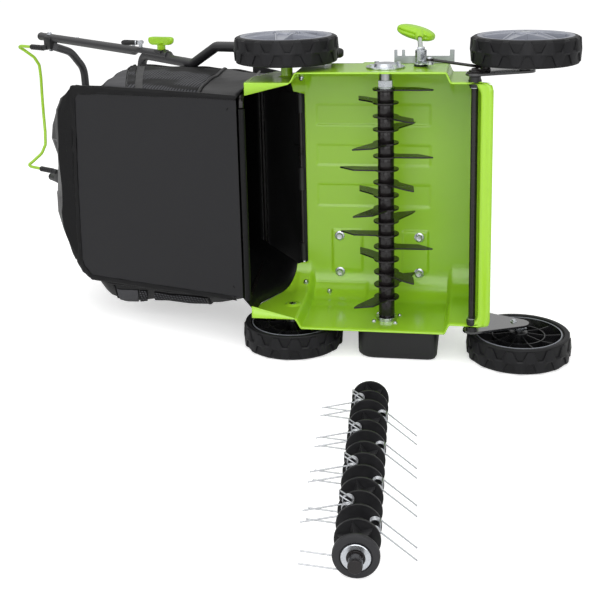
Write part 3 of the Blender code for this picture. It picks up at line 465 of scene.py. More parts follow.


# Wheels
# Each wheel is a black nylon core with thin ribs and a ring on its inner side, a grey clip-on
# cover with five tapered spokes outside, and a tyre with two rows of pointed lugs. The tyre is a
# hard, dull rubber, and the cover has a silky moulded surface; the edges of both are painted
# lighter as a highlight, and a thin grey ring on the core's rim is a painted highlight too.

# The lighter edge colour #2A2A2D below is a painted highlight on the lugs' edges.
tyre_rubber = finish("tyre_rubber", "#0C0C0E", "#141416", 0.46, cloud=45, grain=1.0, relief=0.04,
                     spread=0.07, edge_highlight="#2A2A2D", Specular_IOR_Level=0.2, slot="tyre")
# The lighter edge colour #C2C5CB below is a painted highlight on the cover's spokes and rims.
rim_grey = finish("grey_abs", "#8B8E98", "#838690", 0.30, cloud=70, grain=0.9, relief=0.01,
                  edge_highlight="#C2C5CB", slot="rim_grey")
core_black = finish("black_nylon", "#0F0F10", "#161618", 0.28, cloud=50, grain=0.8, relief=0.01,
                    slot="rim_grey")
PITCHES, WHEEL_RADIUS = 16, 85


def lug_edge(turns):
    """How far a lug reaches from the tyre's middle. Its notches taper from 23 mm to 9 mm."""
    off = abs((turns % 1.0) - 0.5) * math.tau * WHEEL_RADIUS / PITCHES
    return 2.5 + 15 * min(max((off - 4.5) / 7.0, 0.0), 1.0)


def make_wheel(name, centre, side, first_spoke, hub):
    """A wheel with its tyre, core and cover. Its hub stands that far out on the cover's side."""
    corner = name.replace("_wheel", "")
    place = Matrix.Translation((*centre, side * TRACK / 2)) @ Matrix.Diagonal((1, 1, side, 1))
    bm = bmesh.new()
    rows = []
    steps = PITCHES * 16
    for k in range(steps):
        turns = k / 16
        top, low = lug_edge(turns), lug_edge(turns + 0.5)
        r, base = WHEEL_RADIUS, WHEEL_RADIUS - 3
        profile = [(73, -19.5), (74.5, -21), (base - 3, -21.5), (base - 0.6, -20.6), (base, -19.2),
                   (base, -low - 0.7), (r - 1.2, -low), (r, 0), (r - 1.2, top), (base, top + 0.8),
                   (base - 0.5, max(top + 1.6, 16)), (79.5, 20), (77, 20.9), (74.5, 21.2),
                   (73, 19.5)]
        rows.append([(*polar(q, 360 * k / steps), z) for q, z in profile])
    skin(bm, rows, loop=True, turn=place)
    piece("tread_" + name, bm, tyre_rubber, name, 8, instead="tyre_" + corner)

    bm = bmesh.new()
    turned(bm, [(6.3, -21.2), (13.8, -21.2), (14.7, -20.4), (15.5, -3), (64, -3.5), (69.5, -16.5),
                (69.9, -18.8), (71.3, -18.8), (73.5, -17), (73.5, 16), (70, 16), (60, 2), (15, 2),
                (6.3, 4)], 72, turn=place)
    turned(bm, [(41.5, -3), (41.5, -16), (42.8, -16), (42.8, -3)], 60, turn=place)
    for k in range(10):
        skin(bm, [[(14, y, -3), (66, y, -3), (69.8, y, -17), (41.9, y, -15.2), (14, y, -19)]
                  for y in (-0.6, 0.6)], turn=place @ turn_by(2 + 36 * k))
    piece("wheel_core_" + name, bm, core_black, name, 30, instead="rim_" + corner)

    bm = bmesh.new()
    turned(bm, [(15, 3), (60, 3), (64, 15), (73.5, 16.5), (74.4, 18), (74.4, 21), (73.6, 21.5),
                (66.8, 20.8), (65.8, 19.8), (62.8, 7.5), (60.5, 6), (23, 7.8), (18.5, 10.5),
                (17, hub - 1.8), (15.2, hub), (8.5, hub), (7.2, hub - 1.2), (6.6, 3)], 72,
           turn=place)
    # A thin ring of the grey cover material on the core's inner rim: a painted highlight where that
    # edge catches the light.
    turned(bm, [(68.4, -18.6), (68.4, -19.6), (70, -19.6), (70, -18.6)], 72, turn=place)
    for k in range(5):
        rows = []
        for share in (0.0, 0.25, 0.5, 0.75, 1.0):
            x, w = 14 + 53 * share, 15 - 9.8 * share
            high = hub - 1.6 + (19.6 - hub) * share
            half = [(-w, 4), (-w, high + 1.2), (2.2 - w, high + 1.2), (2.8 - w, high - 1.2)]
            rows.append([(x, y, z) for y, z in half] + [(x, -y, z) for y, z in reversed(half)])
        skin(bm, rows, turn=place @ turn_by(first_spoke + 72 * k))
    rounded_edges(piece("wheel_cover_" + name, bm, rim_grey, name), 0.4)


make_wheel("rear_wheel_right", REAR_WHEEL, 1, -90, 26.5)
make_wheel("rear_wheel_left", REAR_WHEEL, -1, 20, 21.3)
make_wheel("front_wheel_right", FRONT_WHEEL, 1, -121, 26.5)
make_wheel("front_wheel_left", FRONT_WHEEL, -1, 50, 21.3)


# Front crank axle
# A black bar turns in two nylon bushings in the deck, held by bright snap rings, and swings the
# front wheels on two stamped arms to set the working depth.

CRANK_PIVOT = (140.5, -42)
dress(black_steel, "front_axle_rod", edge=0.6)
arm_enamel = finish("gloss_black_enamel", "#1A1A1C", "#222225", 0.16, cloud=30, grain=2.0,
                    relief=0.01, Coat_Weight=1.0, Coat_Roughness=0.06)
dress(arm_enamel, "crank_arm_left", "crank_arm_right")
bm, rings = bmesh.new(), bmesh.new()
for side in (-1, 1):
    turned(bm, [(6, 188.5), (8, 188.5), (8.6, 189.5), (8.6, 196), (10.2, 197.2), (10.2, 199),
                (9, 200), (9, 204.5), (8.4, 205.3), (6, 205.3)], centre=CRANK_PIVOT, side=side)
    turned(rings, [(5.6, 186.8), (7.7, 186.8), (7.9, 187.6), (7.7, 188.4), (5.6, 188.4)],
           centre=CRANK_PIVOT, side=side)
    foot = (CRANK_PIVOT[0], CRANK_PIVOT[1] - 9.5)
    skin(bm, [[(*polar(size, 15 * k, foot if k > 12 else CRANK_PIVOT), side * z)
               for k in range(24)] for z, size in ((189, 6.8), (190.5, 8), (205.3, 8))])
piece("axle_bushings", bm, black_plastic, "chassis")
bolt(rings, (208, -2, -206), (0, 0, 1), 6.5, 2.4, 5.2)
bolt(rings, (*FRONT_WHEEL, -216), (0, 0, 1), 18, 5.5, 12.5)
turned(rings, [(3, 260), (6, 260), (8, 266.4), (8.4, 267), (8.4, 268), (6.6, 269.2), (3, 269.4)],
       centre=FRONT_WHEEL)
piece("axle_rings", rings, zinc, "front_axle")
bm = bmesh.new()
turned(bm, [(5, 209.8), (8.6, 209.8), (8.6, 217.5), (10, 219), (10, 221.2), (5, 221.2)], 32,
       centre=FRONT_WHEEL)
ROD_END = (156, -13)
plate = [polar(8.5, -20 + 18 * k, ROD_END) for k in range(11)]
plate += [polar(12.5, 160 + 18 * k, CRANK_PIVOT) for k in range(11)]
prism(bm, plate, (210, 211.8))
bolt(bm, (*ROD_END, 217.6), (0, 0, 1), 8.5, 4)
bolt(bm, (*CRANK_PIVOT, 213), (0, 0, 1), 11, 3, 9.5)
rounded_edges(piece("axle_lever", bm, black_steel, "front_axle"), 0.5)


# Depth lever
# A zinc-plated pivot block with a bent rod and a soft oval grip of lime polypropylene. A thin rod
# links it to the crank, and it clicks into the notches of a galvanised bracket.

LEVER_PIVOT, ROD_START = (55, 18), (70.5, -12)
green_plastic = finish("lime_polypropylene", "#96C71E", "#8DBE1B", 0.36, cloud=30, grain=0.8,
                       relief=0.03, slot="green_plastic")
galvanised = finish("dull_galvanised_steel", "#A3A6AA", "#8A8D91", 0.42, 1.0, cloud=9, grain=1.5,
                    relief=0.02, spread=0.08)
dress(galvanised, "notch_bracket")
dress(zinc, "depth_lever")
dress(black_steel, "push_rod", edge=0.4)
bm = bmesh.new()
turned(bm, [(9.5, 212.5), (11.2, 212.5), (11.2, 215), (9.5, 215)], centre=LEVER_PIVOT)
piece("lever_washer", bm, rubber, "chassis")
bm = bmesh.new()
turned(bm, [(6, 215.3), (11.8, 215.3), (12.4, 215.8), (12.4, 217.6), (10, 218.4), (6, 218.4)],
       centre=LEVER_PIVOT)
bolt(bm, (*LEVER_PIVOT, 237), (0, 0, 1), 12, 5, 9)
bolt(bm, (*ROD_START, 228.5), (0, 0, 1), 7, 3)
piece("lever_nuts", bm, zinc, "depth_control")


def squared(value, power):
    """A sine or cosine bent so that a round section comes out squarer, or tighter above 1."""
    return math.copysign(abs(value) ** power, value)


bm = bmesh.new()
rows = []
for i in range(1, 32):
    t = math.pi * i / 32
    row = []
    for j in range(64):
        p = math.tau * j / 64
        x, y, z = math.cos(t), math.sin(t) * math.cos(p), math.sin(t) * math.sin(p)
        groove = 0.0
        if abs(x) < 0.86:
            for level in (-0.62, 0.0, 0.62):
                groove = max(groove, 1 - abs(z - level) / 0.16)
        groove *= smooth((0.86 - abs(x)) / 0.12) * smooth((abs(y) - 0.35) / 0.2)
        row.append(Vector((x, squared(y, 0.72), squared(z, 0.72))) * (1 - 0.07 * max(groove, 0)))
    rows.append(row)
skin(bm, rows, turn=(Matrix.Translation((41.5, 113.5, 255.5)) @ turn_by(-18) @ turn_by(14, "Y")
                     @ Matrix.Diagonal((33, 20, 10.8, 1))))
knee, neck = Vector((48.5, 92, 251.5)), Vector((*LEVER_PIVOT, 232))
turned(bm, [(4.2, -10), (9.5, -10), (7.5, 4), (5.8, 8.5), (5.5, 10.5), (4.2, 10.5)], 32,
       turn=aimed(knee, neck - knee))
piece("lever_grip", bm, green_plastic, "depth_control", instead="depth_grip")


# Rear flap
# A black plastic flap that closes the throwing channel. It hangs on a steel wire in three knuckles
# and a leg spring pulls it shut on the bag's frame.

FLAP_HINGE = (-158.5, 120)
dress(black_plastic, "rear_flap", edge=0.9)


def sweep(bm, path, radius, sides=16, loop=False):
    """A round bar along a path. radius is a number, or one for each point of the path."""
    path = [Vector(p) for p in path]
    radii = radius if hasattr(radius, "__len__") else [radius] * len(path)
    rows, across = [], None
    for k, point in enumerate(path):
        before = path[k - 1] if k or loop else point
        after = path[(k + 1) % len(path)] if k + 1 < len(path) or loop else point
        along = (after - before).normalized()
        across = along.orthogonal() if across is None else across - along * across.dot(along)
        across.normalize()
        up = along.cross(across)
        ring = [polar(radii[k], 360 * j / sides) for j in range(sides)]
        rows.append([point + across * x + up * y for x, y in ring])
    skin(bm, rows, loop=loop)


bm = bmesh.new()
sweep(bm, [(*FLAP_HINGE, -151.5), (*FLAP_HINGE, 151.5)], 3.2)
coil = [(*polar(4.6, 22.5 * k, FLAP_HINGE), 40 + 16.5 * k / 96) for k in range(97)]
coil = [(-140, 117.5, 40)] + coil + [(-174, 142, 56.5)]
sweep(bm, coil, 0.9, 8)
piece("flap_hinge_wire", bm, black_steel, "chassis")
bm = bmesh.new()
seal = [(-156, 117.2), (-146.5, 117), (-146.5, 118.2), (-156, 118.8)]
prism(bm, seal, (-155, 155))
piece("flap_seal", bm, rubber, "chassis")


# Catcher bag
# A steel wire frame carries a sewn bag: coated polyester at the front and below, an open knitted
# mesh on its sides, a bound seam along each edge and a smooth stiff board as its bottom. The cloth
# has a plain weave of about 1 mm, drawn at 2 mm so that it shows, and hangs in soft folds.

MOUTH_BOTTOM, BACK_BOTTOM = (-231, -41.5), (-562, 85)


def woven(name, base, drift, pitch, depth, rough, open_work=False):
    mat = finish(name, base, drift, rough, cloud=35, grain=pitch, Specular_IOR_Level=0.14,
                 slot="fabric")
    tree = mat.node_tree
    shader = tree.nodes["Principled BSDF"]
    where = add(tree, "TexCoord").outputs["Object"]
    threads = []
    for axis in ("X", "Z"):
        threads.append(add(tree, "TexWave", {"Vector": where, "Scale": 500 / pitch / math.pi,
                                             "Distortion": 0.4}, bands_direction=axis))
    weave = add(tree, "Math", {0: threads[0].outputs["Fac"], 1: threads[1].outputs["Fac"]},
                operation="MULTIPLY" if open_work else "MAXIMUM")
    bump = add(tree, "Bump", {"Height": weave.outputs[0], "Distance": depth / 1000,
                              "Normal": shader.inputs["Normal"].links[0].from_socket})
    tree.links.new(bump.outputs["Normal"], shader.inputs["Normal"])
    if open_work:
        colour = shader.inputs["Base Color"].links[0].from_socket
        holes = add(tree, "MapRange", {"Value": weave.outputs[0], "From Min": 0.1, "From Max": 0.6})
        dark = add(tree, "Mix", {"Factor": holes.outputs["Result"], 6: srgb("#111112"), 7: colour},
                   data_type="RGBA")
        tree.links.new(dark.outputs[2], shader.inputs["Base Color"])
    return mat


bag_cloth = woven("coated_polyester", "#0D0D0E", "#151516", 2.0, 0.10, 0.38)
bag_mesh = woven("knitted_mesh", "#4E4E52", "#38393C", 3.0, 0.30, 0.70, True)
board = finish("grey_pvc_board", "#1D1D1F", "#222224", 0.52, cloud=220, grain=0.8, relief=0.006,
               Specular_IOR_Level=0.2, slot="panel")


def eased(table, t):
    """A smooth curve through (place, value) pairs."""
    k = max(i for i in range(len(table) - 1) if t >= table[i][0] or i == 0)
    (t1, v1), (t2, v2) = table[k], table[k + 1]
    (t0, v0), (t3, v3) = table[max(k - 1, 0)], table[min(k + 2, len(table) - 1)]
    s = (t - t1) / (t2 - t1)
    m1 = (v2 - v0) / (t2 - t0) * (t2 - t1)
    m2 = (v3 - v1) / (t3 - t1) * (t2 - t1)
    return ((2 * s ** 3 - 3 * s ** 2 + 1) * v1 + (s ** 3 - 2 * s ** 2 + s) * m1
            + (3 * s ** 2 - 2 * s ** 3) * v2 + (s ** 3 - s ** 2) * m2)


def back_fold(share):
    """The depth at which the right side folds round the bag's back edge."""
    return 0.81 + 0.18 * share


def bag_point(depth, share, side, across=1.0, grow=0.0):
    """A point of the bag: depth from its mouth, share up its height, side -1 left or 1 right."""
    at = min(depth, 1.0)
    low = Vector(MOUTH_BOTTOM).lerp(Vector(BACK_BOTTOM), at)
    high = Vector((eased(((0, -250), (0.333, -335), (0.667, -435), (1, -532)), at),
                   eased(((0, 235), (0.333, 311), (0.667, 337), (1, 357)), at)))
    x, y = low.lerp(high, share)
    mouth = max(1.0 - depth / 0.16, 0.0)
    x += mouth * eased(((0, 0), (0.14, 13), (0.36, 42), (0.62, 60), (0.92, -2), (1, 0)), share)
    half = eased(((0, 163), (0.14, 171), (0.36, 173), (0.62, 172), (0.92, 170), (1, 166)), share)
    half += mouth * 12 * math.sin(math.pi * share)
    if side < 0:
        hang = eased(((0, 0.3), (0.12, 1.0), (0.36, 1.0), (0.62, 0.5), (0.9, 0.0), (1, 0)), share)
        half += hang * eased(((0, 0), (0.2, 30), (0.5, 42), (0.86, 54), (0.97, 16), (1, 4)), at)
        tuck = min(max(depth - 0.93, 0), 0.24)
        drawn = eased(((0, 0), (0.04, 6), (0.07, 14), (0.12, 45), (0.17, 90), (0.24, 165)), tuck)
        half -= drawn * (1 - 0.6 * share * (tuck < 0.07))
        bulge = eased(((0, 0), (0.04, 10), (0.07, 45), (0.12, 72), (0.17, 88), (0.24, 92)), tuck)
    else:
        fold, tuck = back_fold(share), min(max(depth - 1, 0), 0.14)
        behind = smooth((depth - fold) / min(1 - fold, 0.045))
        half += (167 - 41 * share - half) * behind
        half -= eased(((0, 0), (0.02, 6), (0.05, 20), (0.08, 42), (0.11, 70), (0.14, 95)), tuck)
        bulge = eased(((0, 0), (0.02, 28), (0.05, 60), (0.08, 80), (0.11, 90), (0.14, 93)), tuck)
    x -= bulge * math.sin(math.pi * (0.1 + 0.8 * share))
    point = Vector((x, y, side * max(half, 0.0) * across))
    sag = noise.noise(point * 0.013) + 0.6 * noise.noise(point * 0.031 + Vector((7, 3, 1)))
    sag *= 3.2 * smooth(depth / 0.2) * (1.0 if across == 1.0 else 0.6)
    point.z += side * (sag + grow) * (abs(across) > 0.98)
    if share > 0.97 or share < 0.03:
        point.y += sag * 0.8 * (1 if share > 0.5 else -0.2)
    if depth > 1.0:
        point.x += sag * 2.6
    return point


def bag_line(line, share):
    """The depth of a grid line. Lines 0 to 1 fill the side, 1 to 2 the cloth behind its back edge."""
    fold = back_fold(share)
    if line <= 1:
        return 0.03 + (fold - 0.03) * line
    return fold + (1.0 - fold) * (line - 1) if line <= 2 else line - 1


bm = bmesh.new()
lines = [k / 34 for k in range(35)] + [1.2, 1.4, 1.6, 1.8, 2.0, 2.02, 2.05, 2.08, 2.11, 2.14]
shares = [0.01 + 0.98 * k / 22 for k in range(23)]
rows = []
for line in lines:
    row = [bag_point(bag_line(line, s), s, -1) for s in shares]
    row += [bag_point(bag_line(line, 1.0), 1.0, 1, k / 7 - 1) for k in range(1, 14)]
    row += [bag_point(bag_line(line, s), s, 1) for s in reversed(shares)]
    row += [bag_point(bag_line(line, 0.0), 0.0, 1, 1 - k / 7) for k in range(1, 14)]
    rows.append(row)
made = skin(bm, rows, caps=False)
bm.faces.new(made[-1])
thicken(piece("bag_cloth", bm, bag_cloth, "catcher_bag", 50, out=(-1, 0, 0),
              instead="bag_fabric"), 1.4)

lining = finish("grey_lining", "#3E3E41", "#343437", 0.60, cloud=30, grain=1.0,
                Specular_IOR_Level=0.3, slot="fabric")
# The gap left between the side mesh and the narrow mesh strip shows the black cloth beneath as a dark
# band: painted shade standing for a fold in the side.
for name, side in SIDES:
    for kind, mat, first, last, high in (
            ("mesh", bag_mesh, (0.235, 0.09), (0.545, 0.365), 0.86),
            ("mesh_strip", bag_mesh, (0.590, 0.385), (0.638, 0.385), 0.86),
            ("lining", lining, (0.648, 0.385), (0.795, 0.18), 0.70)):
        bm = bmesh.new()
        rows = []
        for k in range(25):
            row = []
            for j in range(19):
                share = 0.04 + (high - 0.04) * j / 18
                start, end = first[0] + first[1] * share, last[0] + last[1] * share
                row.append(bag_point(start + (end - start) * k / 24, share, side, grow=3))
            rows.append(row)
        skin(bm, rows, ring=False)
        thicken(piece("bag_%s_%s" % (kind, name), bm, mat, "catcher_bag", 50,
                      out=(0, 0, side)), 1.0)

bm = bmesh.new()
for side in (-1, 1):
    top = [bag_point(0.05 + 0.90 * k / 40, 0.985, side) + Vector((0, 0.8, side * 0.4))
           for k in range(41)]
    sweep(bm, top, 3, 10)
    low = [bag_point(0.04 + 0.93 * k / 40, 0.02, side) for k in range(41)]
    sweep(bm, low, 2.4, 10)
    heights = [0.03 + 0.94 * k / 24 for k in range(25)]
    sweep(bm, [bag_point(0.230 + 0.09 * s, s, side, grow=1.2) for s in heights], 3, 8)
    sweep(bm, [bag_point(0.805 + 0.18 * s, s, side, grow=0.4) for s in heights], 1.8, 8)
piece("bag_binding", bm, bag_cloth, "catcher_bag", 60)


# Bottom board and mouth trim
# The smooth stiff PVC board is sewn to the bag's bottom with a doubled tape along its edge. A
# cloth sleeve holds the lower wire of the frame, and two skirts close the gaps to the deck.

def on_board(u, z, out):
    """A point beside the bag's bottom: u from its mouth 0 to its back 1, out towards the lawn."""
    low, high = Vector((*MOUTH_BOTTOM, 0)), Vector((*BACK_BOTTOM, 0))
    along = high - low
    normal = Vector((along.y, -along.x, 0)).normalized()
    return low + along * u - normal * math.copysign(out, normal.y) + Vector((0, 0, z))


inner = [(0.012, 166.5), (0.21, 166), (0.5, 163), (0.81, 160), (0.955, 156), (0.972, 149),
         (0.98, 80), (0.99, 7), (0.9965, -80), (1, -148), (0.985, -162), (0.937, -177),
         (0.568, -173.5), (0.012, -167)]
outer = [(0, 173.5), (0.21, 174), (0.5, 174), (0.81, 173), (0.985, 170.5), (1.003, 164),
         (1.009, 80), (1.0195, 7), (1.028, -80), (1.036, -156), (1, -174), (0.94, -186),
         (0.568, -182), (0, -173.5)]
bm = bmesh.new()
skin(bm, [[on_board(u, z, out) for u, z in inner] for out in (-0.6, 1.6)])
rounded_edges(piece("bag_board", bm, board, "catcher_bag", instead="bag_panel"), 0.6)
bm, rows = bmesh.new(), []
for k in range(len(inner) - 1):
    for j in range(12):
        near = Vector(inner[k]).lerp(inner[k + 1], j / 12)
        far = Vector(outer[k]).lerp(outer[k + 1], j / 12)
        row = []
        for share, out in ((-0.15, 1.2), (-0.1, 2.6), (0.25, 3), (0.6, 2.6), (0.95, 1.8), (1, 0.2)):
            u, z = near.lerp(far, share)
            wrinkle = noise.noise(Vector((u * 14, z * 0.04, 3)))
            wrinkle += noise.noise(Vector((u * 40, z * 0.09, 1)))
            row.append(on_board(u, z, out + 0.9 * wrinkle))
        rows.append(row)
skin(bm, rows, ring=False)
thicken(piece("board_binding", bm, bag_cloth, "catcher_bag", 60), 0.8)
dress(black_steel, "bag_frame", edge=0.4)
bm = bmesh.new()
wire = (MOUTH_BOTTOM[0] + 4.5, MOUTH_BOTTOM[1] - 1.2)
sweep(bm, [(*wire, 152 - 322 * k / 40) for k in range(41)],
      [5.2 + 0.5 * noise.noise(Vector((0, 0, 9 * k))) for k in range(41)], 14)
piece("frame_sleeve", bm, bag_cloth, "catcher_bag", 60)
bm = bmesh.new()
for side in (-1, 1):
    behind = [(-36 + 12 * k, 168) for k in range(21)] + [(222, 163), (229, 150)]
    ahead = [(-36 + 6.4 * k, 192.5) for k in range(17)]
    ahead += [polar(46, 90 - math.degrees(0.24 * k), (66.5, 146.5)) for k in range(1, 7)]
    rows = []
    for share in (-0.8, -0.4, 0.0, 0.33, 0.66, 1.0):
        row = []
        for (back_y, back_z), (y, z) in zip(behind, ahead):
            back = Vector((-236 - 0.062 * (back_y + 40), back_y, side * back_z))
            row.append(back.lerp((-216 + 0.434 * max(y - 6, 0), y, side * z), share))
        rows.append(row)
    skin(bm, rows, ring=False)
thicken(piece("mouth_skirts", bm, bag_cloth, "catcher_bag", 60), 1.2)


# Handle
# Bent steel tube, 19 mm across, powder coated in dark grey with a fine even texture. The lower
# bow is screwed to two plates on the deck, its ends are pressed flat where the upper tubes fold
# over them, and a second bow carries the hands and the switch.

# The lighter edge colour #4A4A4E below is a painted highlight on convex edges.
tube_grey = finish("dark_grey_powder_coat", "#212123", "#272729", 0.40, cloud=90, grain=1.0,
                   relief=0.015, edge_highlight="#4A4A4E", Specular_IOR_Level=0.4, slot="dark_tube")
TUBE, JOINT_Z = 9.5, 180.5
HANDLE_LINE = Vector((-0.714, 0.700, 0))
FOLD_PIVOT, CLAMP_PIVOT = (-490.5, 408.8), (-553.9, 470.9)
HANDLE_FOOT, HANDLE_HEEL = (-215, 135, 225.1), (-250, 170, 225.1)
HANDLE_ELBOW, HANDLE_BEND = (-338, 258, 216.5), (-402, 322, 176)
UPPER_END, BOW_JOINT, BOW_BAR = (-920, 820, 177.5), (-865, 765, 158), (-843.8, 897)


def rounded(points, radius, steps=10):
    """A path whose inner corners are replaced by arcs of about that radius."""
    points = [Vector(p) for p in points]
    path = [points[0]]
    for before, corner, after in zip(points, points[1:], points[2:]):
        a, b = (before - corner).normalized(), (after - corner).normalized()
        reach = min(radius / math.tan(a.angle(b) / 2), (before - corner).length * 0.45,
                    (after - corner).length * 0.45)
        for k in range(steps + 1):
            t = k / steps
            path.append(corner + a * reach * (1 - t) ** 2 + b * reach * t ** 2)
    return path + [points[-1]]


def on_side(point, side):
    """A point of the right side, or with side -1 its mirror image."""
    return Vector((point[0], point[1], side * point[2]))


def mirrored(points):
    """A path carried on across the middle plane and back along the left side."""
    return [Vector(p) for p in points] + [on_side(p, -1) for p in reversed(points)]


def finely(path, step=6):
    """The same path with points close together."""
    fine = [path[0]]
    for a, b in zip(path, path[1:]):
        count = max(int((b - a).length / step), 1)
        fine += [a.lerp(b, k / count) for k in range(1, count + 1)]
    return fine


def along_handle(distance, z):
    """A point of the handle's line, so far past the fold pivot."""
    return Vector((*FOLD_PIVOT, z)) + HANDLE_LINE * distance


def press_flat(bm, start, end, limit, inwards):
    """Flatten a tube on the side that faces the other tube, between two places on the handle."""
    for vert in bm.verts:
        place = (vert.co - Vector((*FOLD_PIVOT, vert.co.z))).dot(HANDLE_LINE)
        off = (vert.co - along_handle(place, vert.co.z)).length
        if start < place < end and off < 20:
            ease = smooth((place - start) / 12) * smooth((end - place) / 12)
            over = (limit - abs(vert.co.z)) if inwards else (abs(vert.co.z) - limit)
            if over > 0:
                shift = over * ease * (1 if inwards else -1)
                vert.co.z += math.copysign(shift, vert.co.z)


bm = bmesh.new()
corner = (*CLAMP_PIVOT, HANDLE_BEND[2])
path = mirrored(rounded([HANDLE_FOOT, HANDLE_HEEL, HANDLE_ELBOW, HANDLE_BEND, corner,
                         (*CLAMP_PIVOT, 0)], 35)[:-1])
sweep(bm, finely(path), TUBE, 24)
press_flat(bm, -45, 110, JOINT_Z - 0.3, False)
piece("lower_bow", bm, tube_grey, "chassis", 50, instead="lower_handle")
for name, side in SIDES:
    bm = bmesh.new()
    ends = [on_side(p, side) for p in (along_handle(-30, 183), UPPER_END)]
    sweep(bm, finely(ends), TUBE, 24)
    press_flat(bm, -50, 115, JOINT_Z, True)
    piece("upper_bar_" + name, bm, tube_grey, "upper_handle", 50, instead="upper_tube_" + name)
bm = bmesh.new()
bow = rounded([BOW_JOINT, (-853, 835, 137), (-844, 893, 88), (*BOW_BAR, 40), (*BOW_BAR, 0)],
              90, 14)[:-1]
sweep(bm, finely(mirrored(bow)), TUBE, 24)
piece("hand_bow", bm, tube_grey, "upper_handle", 50, instead="grip_bow")
dress(black_steel, "handle_bracket_left", "handle_bracket_right", edge=0.6)
dress(black_plastic, "switch_housing", edge=1.2)
dress(green_plastic, "start_button", edge=1)

bm = bmesh.new()
for side in (-1, 1):
    for x, y in ((-215, 148), (-110, 91)):
        bolt(bm, (x, y, side * 215.2), (0, 0, side), 9.5, 4.2, 7.2)
piece("bracket_bolts", bm, zinc, "chassis")
bm = bmesh.new()
sweep(bm, [(-100 + 2.1 * k, 95, 224) for k in range(11)],
      [5, 7, 8, 8.5, 8.7, 8.7, 8.7, 8.5, 8, 7, 5], 24)
piece("bracket_knob", bm, black_plastic, "chassis", 50)
bm = bmesh.new()
for side in (-1, 1):
    for distance, z in ((120, 192.2), (400, 188.5)):
        bolt(bm, along_handle(distance, side * z), (0, 0, side), 5.8, 1.6)
    for at, out in (((-882, 780, side * 186.5), side), ((-880, 778, side * 151.2), -side)):
        bolt(bm, at, (0, 0, out), 8.5, 4, 6.5)
piece("handle_bolts", bm, zinc, "upper_handle")
bm = bmesh.new()
along, across = Vector((-0.719, 0.695, 0)), Vector((0.695, 0.719, 0))
for side in (-1, 1):
    rows = []
    for place, size in ((-16.5, 0.8), (-15, 0.96), (-12, 1), (12, 1), (15, 0.96), (16.5, 0.8)):
        middle = Vector((-880, 778, side * 167.2)) + along * place
        row = []
        for k in range(28):
            x, z = (squared(v, 0.45) * size for v in polar(1, 360 * k / 28))
            row.append(middle + across * 11.2 * x + Vector((0, 0, 16.5 * z)))
        rows.append(row)
    skin(bm, rows)
    sweep(bm, [(-888, 777, side * 156), (-905, 783, side * 153.5)], 6.8, 18)
    end = on_side(UPPER_END, side)
    sweep(bm, [end - along * 4, end + along, end + along * 2.8], [9.9, 9.9, 8.2], 24)
piece("bow_clamps", bm, black_plastic, "upper_handle", 30)


# Wing knobs and cam levers
# Lime polypropylene wing knobs clamp the fold joint through black saddle washers, and black cam
# levers with a bright pin lock it open.

def wing_shape(bm, side):
    rows = []
    for z, stretch in ((203, 0.72), (204.5, 0.86), (208, 0.97), (212, 1), (216, 0.98), (218, 0.9),
                       (218.6, 0.78)):
        row = []
        for k in range(48):
            x, y = polar(1, 7.5 * k)
            waist = (6.2 + 3.4 * abs(x) ** 1.5) * (0.8 + 0.2 * stretch)
            row.append((28.5 * stretch * squared(x, 0.75), waist * squared(y, 0.8), side * z))
        rows.append(row)
    skin(bm, rows, turn=Matrix.Translation((*FOLD_PIVOT, 0)) @ turn_by(-12))


for name, side in SIDES:
    bm = bmesh.new()
    wing_shape(bm, side)
    turned(bm, [(3, 193.2), (8, 193.2), (8.6, 194), (8.2, 200), (9, 204), (11, 207), (3, 207)],
           centre=FOLD_PIVOT, side=side)
    piece("wing_" + name, bm, green_plastic, "wing_knob_" + name, 45, instead="wing_knob_" + name)
    bm = bmesh.new()
    block = [(-12.5, -10.5), (12.5, -10.5), (12.5, 10.5), (-12.5, 10.5)]
    slant = math.degrees(math.atan2(HANDLE_LINE.y, HANDLE_LINE.x))
    prism(bm, block, (side * 187, side * 192.8),
          Matrix.Translation((*FOLD_PIVOT, 0)) @ turn_by(slant))
    rounded_edges(piece("saddle_" + name, bm, black_plastic, "upper_handle"), 1.5)

    bm = bmesh.new()
    at = Vector((*CLAMP_PIVOT, side * 200.5))
    path = [at + Vector((-42, 2, 0)) * (0.1 + 0.9 * k / 16) for k in range(17)]
    sweep(bm, path, [4.2, 4.2, 4.4, 4.7, 5, 5.2, 5.3, 5.4, 5.5, 5.6, 5.7, 5.8, 5.8, 5.7, 5.4, 4.6,
                     2.8], 20)
    piece("cam_handle_" + name, bm, black_plastic, "cam_lever_" + name, 60,
          instead="cam_lever_" + name)
    bm = bmesh.new()
    for reach, radius, sides in ((7.5, 5, 20), (8.8, 2.2, 12)):
        sweep(bm, [at - Vector((0, reach, 0)), at + Vector((0, reach, 0))], radius, sides)
    sweep(bm, [at + Vector((-11, 0.6, 0)), at + Vector((-8.5, 0.6, 0))], 5.2, 20)
    sweep(bm, [at, Vector((*CLAMP_PIVOT, side * 188.5))], 4, 16)
    piece("cam_pin_" + name, bm, zinc, "cam_lever_" + name, 40)


# Bail
# A lime-coated spring wire that the hands pull to the grip. It turns in two ribbed black sleeves
# on the ends of the upper tubes.

